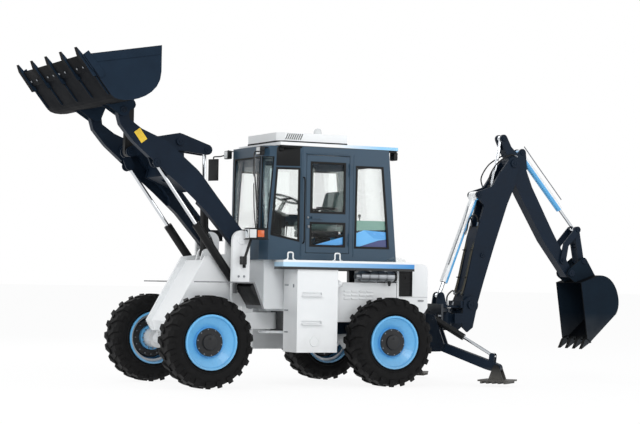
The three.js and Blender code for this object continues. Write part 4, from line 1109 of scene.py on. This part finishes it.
def grille(s):
    """The cooling grille: a black frame with slats and a latch, in the hood's rear window."""
    y = s * (HOOD_Y - 6)
    parts = [block((-478, y, z), (-292, y - s * 14, z + 6), 1.5, 1) for z in range(1100, 1392, 17)]
    parts.append(block((-476, y - s * 16, 1092), (-294, y - s * 20, 1398), 1, 1))
    for x in (-480, -298):
        parts.append(block((x, y + s * 8, 1088), (x + 8, y - s * 12, 1402), 2, 1))
    parts.append(block((-480, y + s * 8, 1088), (-290, y - s * 12, 1096), 2, 1))
    parts.append(block((-480, y + s * 8, 1394), (-290, y - s * 12, 1402), 2, 1))
    parts.append(block((-396, y + s * 7, 1300), (-386, y - s * 2, 1330), 3, 1))
    return joined(parts)


mirrored(grille, "cooling_grille", "machine", black_plastic)


def hood_seams(s):
    """The seams between the hood's panels, and the handle on its side."""
    y = s * HOOD_Y
    return joined([
        block((-262, y - s, 820), (-256, y + s * 3, 1246), 1, 1),
        block((-696, s * 596, 1080), (-300, y + s * 2, 1084), 1, 1),
        block((-640, y - s, 1030), (-560, y + s * 12, 1046), 4),
    ])


mirrored(hood_seams, "hood_seams", "machine", grey_enamel)

joined([block((-704, -371, z), (-699, 371, z + 12), 2, 1) for z in range(800, 1008, 26)])
finish("rear_hood_louvres", "machine", black_plastic)
block((-706, -150, 1320), (-699, 150, 1410), 3, 1)
finish("plate_panel", "machine", white_enamel, "white_paint")
turned([(0, 0), (118, 0), (118, 10), (108, 34), (70, 52), (0, 58)], at(-190, 700, 1505.3), (0, 0, 1), 32)
finish("precleaner_dome", "machine", cab_glass)

CAN_Y, CAN_Z = 660, 1330  # mm, the middle of the air cleaner's can
for k, x in enumerate((-60, 60, 180)):
    turned([(62.5, -9), (65.5, -9), (65.5, 9), (62.5, 9)], at(x, CAN_Y, CAN_Z), (1, 0, 0), 32)
    finish(f"air_cleaner_band_{k}", "machine", zinc)
turned([(0, 0), (58, 0), (60, -8), (64, -8), (64, -26), (56, -34), (30, -38), (0, -38)],
       at(-165, CAN_Y, CAN_Z), (1, 0, 0), 32)
finish("air_cleaner_cap", "machine", grey_plastic)
turned([(0, 0), (20, 0), (22, -28), (13, -62), (0, -62)], at(-120, CAN_Y, CAN_Z - 55), (0, 0, 1), 20)
finish("air_cleaner_drain", "machine", black_plastic)

TANK_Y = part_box("fuel_tank")[1].y * 1000
STEPS = (1085, 750)  # mm, the heights of the two steps in each tank


def tank_fittings(s):
    """Step treads, a plate above each, and the inspection cover on the tank's outer side."""
    y = s * TANK_Y
    parts = []
    for z in STEPS:
        parts.append(block((872, y - s * 2, z - 8), (1143, y + s * 42, z + 1), 3))
        parts.append(block((877, y - s * 22, z + 1), (1138, y - s * 12, z + 34), 1))
    parts.append(turned([(0, -1), (62, -1), (62, 5), (58, 9), (50, 9), (47, 5), (0, 5)],
                        at(965, y, 540), (0, s, 0), 32))
    return joined(parts)


mirrored(tank_fittings, "tank_fittings", "machine", white_enamel, "white_paint")


def tread_teeth(s):
    """Ribs across both steps, for a boot's grip."""
    y = s * TANK_Y
    bars = []
    for z in STEPS:
        bars += [
            block((x, y - s * 120, z - 3), (x + 8, y - s * 3, z + 6), 1.5, 1) for x in range(884, 1136, 20)
        ]
    return joined(bars)


mirrored(tread_teeth, "step_grips", "machine", white_enamel, "white_paint")


def filler(s):
    """The slanted filler neck behind the tank, with its screw cap."""
    axis = Vector((-0.62, 0, 0.78))
    base = at(680, s * 700, 1120)
    neck = turned([(0, 0), (30, 0), (30, 120), (36, 122), (36, 132), (0, 132)], base, axis, 24)
    cap = turned([(0, 131), (43, 131), (45, 136), (45, 160), (38, 168), (0, 168)], base, axis, 16)
    return joined([neck, cap])


mirrored(filler, "filler_neck", "machine", white_enamel, "white_paint")


def front_face_fittings(s):
    """Hinges and latches on the tank's front face and the battery box."""
    x = 1200
    parts = [block((x - 2, s * 470, z), (x + 10, s * 560, z + 14), 3) for z in (1200, 900, 640)]
    parts.append(block((x - 2, s * 700, 1180), (x + 14, s * 712, 1220), 3))
    return joined(parts)


mirrored(front_face_fittings, "tank_hinges", "machine", zinc)

# ---------------------------------------------------------------- front frame
TOWER_Y = 565


def tower_slot_shade(s):
    """A black block on the tower's outer plate that stands for its access slot: painted shade in the slot's
    opening.
    """
    y = s * TOWER_Y
    return block((1770, y - s, 1400), (1812, y + s * 4, 1530), 3)


mirrored(tower_slot_shade, "tower_slot_shade", "front", seal_rubber)


def tower_bolts(s):
    """The bolts that hold the tower to the frame, on their washers."""
    spots = [(1860, 1120), (1790, 1120), (1860, 1300), (1790, 1300)]
    return joined([
        turned([(0, -1), (15, -1), (15, 3), (11, 3), (11, 11), (0, 11)],
               at(x, s * TOWER_Y, z), (0, s, 0), 6)
        for x, z in spots
    ])


mirrored(tower_bolts, "tower_bolts", "front", zinc)


def mud_flap(s):
    """The rubber flap hung behind the front wheel, in the fender's corner."""
    return plate([(1862, s * 572, 1216), (1742, s * 572, 930), (1790, s * 572, 1000),
                  (1905, s * 572, 1180)],
                 (0, s * 421, 0), 2)


mirrored(mud_flap, "mud_flap", "front", hose_rubber)

# ---------------------------------------------------------------- pins
CAPS = [  # the body, then x, the distance from the middle, z and the radius in mm
    ("front", 1830, 566, 1730, 52), ("front", 1800, 566, 1150, 36),
    ("loader_arms", 2450, 119, 2890, 44), ("loader_arms", 2885, 501, 2605, 48),
    ("loader_arms", 3330, 531, 3190, 40), ("bellcrank", 2085, 105, 2810, 42),
    ("bellcrank", 3065, 105, 2740, 40), ("boom", -2260, 126, 2835, 50), ("boom", -1740, 116, 2411, 34),
    ("boom", -1795, 116, 1630, 34), ("swing_post", -1610, 163, 990, 54),
    ("swing_post", -1215, 65, 1097, 34), ("stick", -2130, 76, 3160, 36), ("stick", -2420, 76, 2985, 34),
    ("dig_bucket", -3170, 139, 1423, 44), ("dig_bucket", -3370, 131, 1581, 32),
    ("rocker", -3060, 108, 1590, 22), ("rocker", -3290, 102, 2000, 34),
]
for number, (body, x, y, z, radius) in enumerate(CAPS):
    paint = (white_enamel, "white_paint") if body == "front" else (slate_enamel, "slate_paint")
    for side, s in SIDES:
        pin_cap(x, s * y, z, radius, s)
        finish(f"pin_cap_{number}_{side}", body, *paint)

# ---------------------------------------------------------------- plates and pipes on the loader
def arm_pad(s):
    """The bare yellow marker on the arm's outer side, turned along the arm."""
    along, across = Vector((0.6, 0, 0.8)) * 78, Vector((-0.8, 0, 0.6)) * 44
    centre = Vector((3105, s * 500.5, 2905))
    corners = [centre + a * along + b * across for a, b in ((-1, -1), (1, -1), (1, 1), (-1, 1))]
    return plate([tuple(c) for c in corners], (0, s * 1.2, 0))


mirrored(arm_pad, "arm_marker", "loader_arms", yellow_film)


def arm_pipes(s):
    """Two steel pipes clamped along the arm's inner side."""
    y = s * 392
    line = [(1985, 1960), (2180, 2170), (2470, 2478), (2620, 2590)]
    return joined([tube([(x, y, z + lift) for x, z in line], 8)[0] for lift in (0, 26)])


mirrored(arm_pipes, "arm_pipes", "loader_arms", black_enamel)

BUCKET_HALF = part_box("loader_bucket")[1].y * 1000
EDGE = (4040, 3720)  # the loader bucket's cutting edge
SOLE = (0.626, 0.78)  # from the heel to the edge, along the bucket's floor


def on_sole(along, out):
    """A side-view place on the loader bucket's floor: mm back from the edge, and mm out of the floor."""
    return EDGE[0] - SOLE[0] * along + SOLE[1] * out, EDGE[1] - SOLE[1] * along - SOLE[0] * out


def across_plate(places, y0, y1, bevel=0):
    """A plate with a side-view outline, from y0 to y1."""
    return plate([(x, y0, z) for x, z in places], (0, y1 - y0, 0), bevel)


across_plate([on_sole(8, -2), on_sole(8, 12), on_sole(205, 12), on_sole(212, -2)],
             -BUCKET_HALF, BUCKET_HALF, 1)
finish("cutting_edge_plate", "loader_bucket", loader_bucket_paint)
ribs = []
for share in (-1, -0.5, 0, 0.5, 1):
    y = share * (BUCKET_HALF - 60)
    ribs.append(across_plate([on_sole(280, -2), on_sole(290, 16), on_sole(520, 16), on_sole(548, -2)],
                             y - 17, y + 17, 2))
joined(ribs)
finish("sole_ribs", "loader_bucket", loader_bucket_paint)


def side_band(s):
    """The doubler along the top of the bucket's side plate, and the side cutter along its front edge."""
    y = s * BUCKET_HALF
    top = [(4012, 3716), (3106, 3880), (3106, 3784), (3960, 3634)]
    cutter = [on_sole(2, -6), on_sole(2, -80), on_sole(330, -80), on_sole(330, -6)]
    return joined([
        plate([(x, y - s, z) for x, z in top], (0, s * 8, 0), 2),
        plate([(x, y - s, z) for x, z in cutter], (0, s * 13, 0), 2),
    ])


mirrored(side_band, "bucket_side_band", "loader_bucket", loader_bucket_paint)

bolt_x, bolt_z = 3990 - SOLE[0] * 60 + SOLE[1] * 12, 3655 - SOLE[1] * 60 - 0.62 * 12
joined([
    turned([(0, -1), (15, -1), (15, 9), (11, 12), (0, 12)], at(bolt_x, y, bolt_z),
           (SOLE[1], 0, -SOLE[0]), 6)
    for y in range(-900, 901, 200)
])
finish("edge_bolts", "loader_bucket", zinc)

# ---------------------------------------------------------------- pipes and hoses
joined([
    tube([(-1500 + 2 * k, y, 1120), (-1556, y, 1300), (-1640, y, 1660), (-1718, y, 1900),
          (-1735, y, 2010)], 9)[0]
    for k, y in enumerate((-98, -78, 78, 98))
])
finish("boom_pipes", "boom", pipe_paint)
joined([
    block((x - 20, s * 68, z - 7), (x + 20, s * 110, z + 7), 3)
    for _, s in SIDES for x, z in ((-1560, 1343), (-1647, 1697))
])
finish("boom_pipe_clamps", "boom", black_enamel)

for k, y in enumerate((-78, 78)):
    hose(f"boom_cylinder_hose_{k}", "boom",
         [(-1736, y, 2010), (-1740, y, 2090), (-1690, y * 1.05, 2150), (-1610, y * 1.05, 2090),
          (-1580, y, 1960), (-1560, y * 0.8, 1900)], 10)
for k, y in enumerate((-40, 40)):
    hose(f"stick_hose_{k}", "boom",
         [(-1925, y * 2.5, 2500), (-1895, y * 2.5, 2640), (-1990, y * 2.4, 2800), (-2110, y * 2.2, 2890),
          (-2240, y * 2.1, 2950), (-2330, y * 1.9, 2930)], 9, "stick")
for k, y in enumerate((-95, 95)):
    hose(f"swing_hose_{k}", "swing_post",
         [(-1380, y * 0.7, 985), (-1400, y, 1090), (-1450, y, 1150), (-1490, y, 1165),
          (-1508, y * 0.75, 1120)], 10, "boom")
tube([(-2452, 60, 3068), (-2640, 60, 2850), (-2900, 60, 2556), (-3045, 60, 2392)], 7)
finish("dig_cylinder_pipe", "dig_barrel", zinc)
tube([(-1612, 46, 2261), (-1560, 46, 2080), (-1440, 46, 1780), (-1330, 46, 1500)], 7)
finish("boom_cylinder_pipe", "boom_barrel", zinc)
for side, s in SIDES:
    hose(f"loader_hose_{side}", "front",
         [(1850, s * 300, 1425), (1850, s * 300, 1560), (1900, s * 330, 1720), (1990, s * 372, 1840),
          (2060, s * 384, 1990), (2100, s * 392, 2070)], 10, "loader_arms")
    hose(f"stabiliser_hose_{side}", "machine",
         [(-1034, s * 250, 900), (-1060, s * 300, 860), (-1040, s * 380, 830), (-985, s * 430, 850),
          (-950, s * 440, 855)], 9,
         f"leg_barrel_{side}")
for k, y in enumerate((-24, 24)):
    hose(f"tilt_hose_{k}", "front",
         [(1960, y * 4, 1424), (1966, y * 4.6, 1530), (1985, y * 4, 1670), (2004, y * 2.4, 1760),
          (2024, y * 1.5, 1800)], 9,
         "tilt_barrel")

# ---------------------------------------------------------------- floor, backdrop and light
def seen_by(tree, *rays):
    """One for rays of these kinds, so that a thing can look white to them and light the machine less."""
    path = add(tree, "ShaderNodeLightPath")
    seen = path.outputs[rays[0]]
    for ray in rays[1:]:
        seen = add(tree, "ShaderNodeMath", {"operation": "MAXIMUM"}, i0=seen,
                   i1=path.outputs[ray]).outputs[0]
    return seen


fresh()
bpy.ops.mesh.primitive_plane_add(size=900, location=(0, 0, 0))
floor = bpy.context.object
floor.name = "studio_floor"
made, tree, place, shader = new_material("pale_studio_floor")
shader.inputs["Base Color"].default_value = colour("#fafafa")
shader.inputs["Roughness"].default_value = 0.9
seen = seen_by(tree, "Is Camera Ray", "Is Glossy Ray", "Is Transmission Ray")
share = add(tree, "ShaderNodeMath", {"operation": "MULTIPLY"}, i0=seen, i1=0.9)
white = add(tree, "ShaderNodeEmission", Color=colour("#ffffff"), Strength=1.0)
blend = add(tree, "ShaderNodeMixShader", i0=share.outputs[0], i1=shader.outputs[0], i2=white.outputs[0])
out = next(n for n in tree.nodes if n.type == "OUTPUT_MATERIAL")
tree.links.new(blend.outputs[0], out.inputs[0])
floor.data.materials.append(made)

world = bpy.data.worlds.new("studio")
bpy.context.scene.world = world
world.use_nodes = True
tree = world.node_tree
tree.nodes.clear()
seen = seen_by(tree, "Is Camera Ray", "Is Transmission Ray")
lit = add(tree, "ShaderNodeBackground", Color=colour("#f7f8f9"), Strength=0.8)
shown = add(tree, "ShaderNodeBackground", Color=colour("#ffffff"), Strength=1.0)
blend = add(tree, "ShaderNodeMixShader", i0=seen, i1=lit.outputs[0], i2=shown.outputs[0])
out = add(tree, "ShaderNodeOutputWorld")
tree.links.new(blend.outputs[0], out.inputs[0])

for name, place, strength, size in (
    ("key_light", (7, 14, 12), 900, 7), ("fill_light", (-9, 12, 6), 320, 8),
    ("rim_light", (0, -12, 10), 420, 8), ("front_light", (15, 2, 5), 420, 6),
):
    bpy.ops.object.light_add(type="AREA", location=place)
    lamp = bpy.context.object
    lamp.name = name
    lamp.data.energy = strength
    lamp.data.size = size
    lamp.rotation_mode = "QUATERNION"
    lamp.rotation_quaternion = (Vector((0, 0, 1.4)) - Vector(place)).to_track_quat("-Z", "Y")

bpy.context.scene.view_settings.view_transform = "Standard"
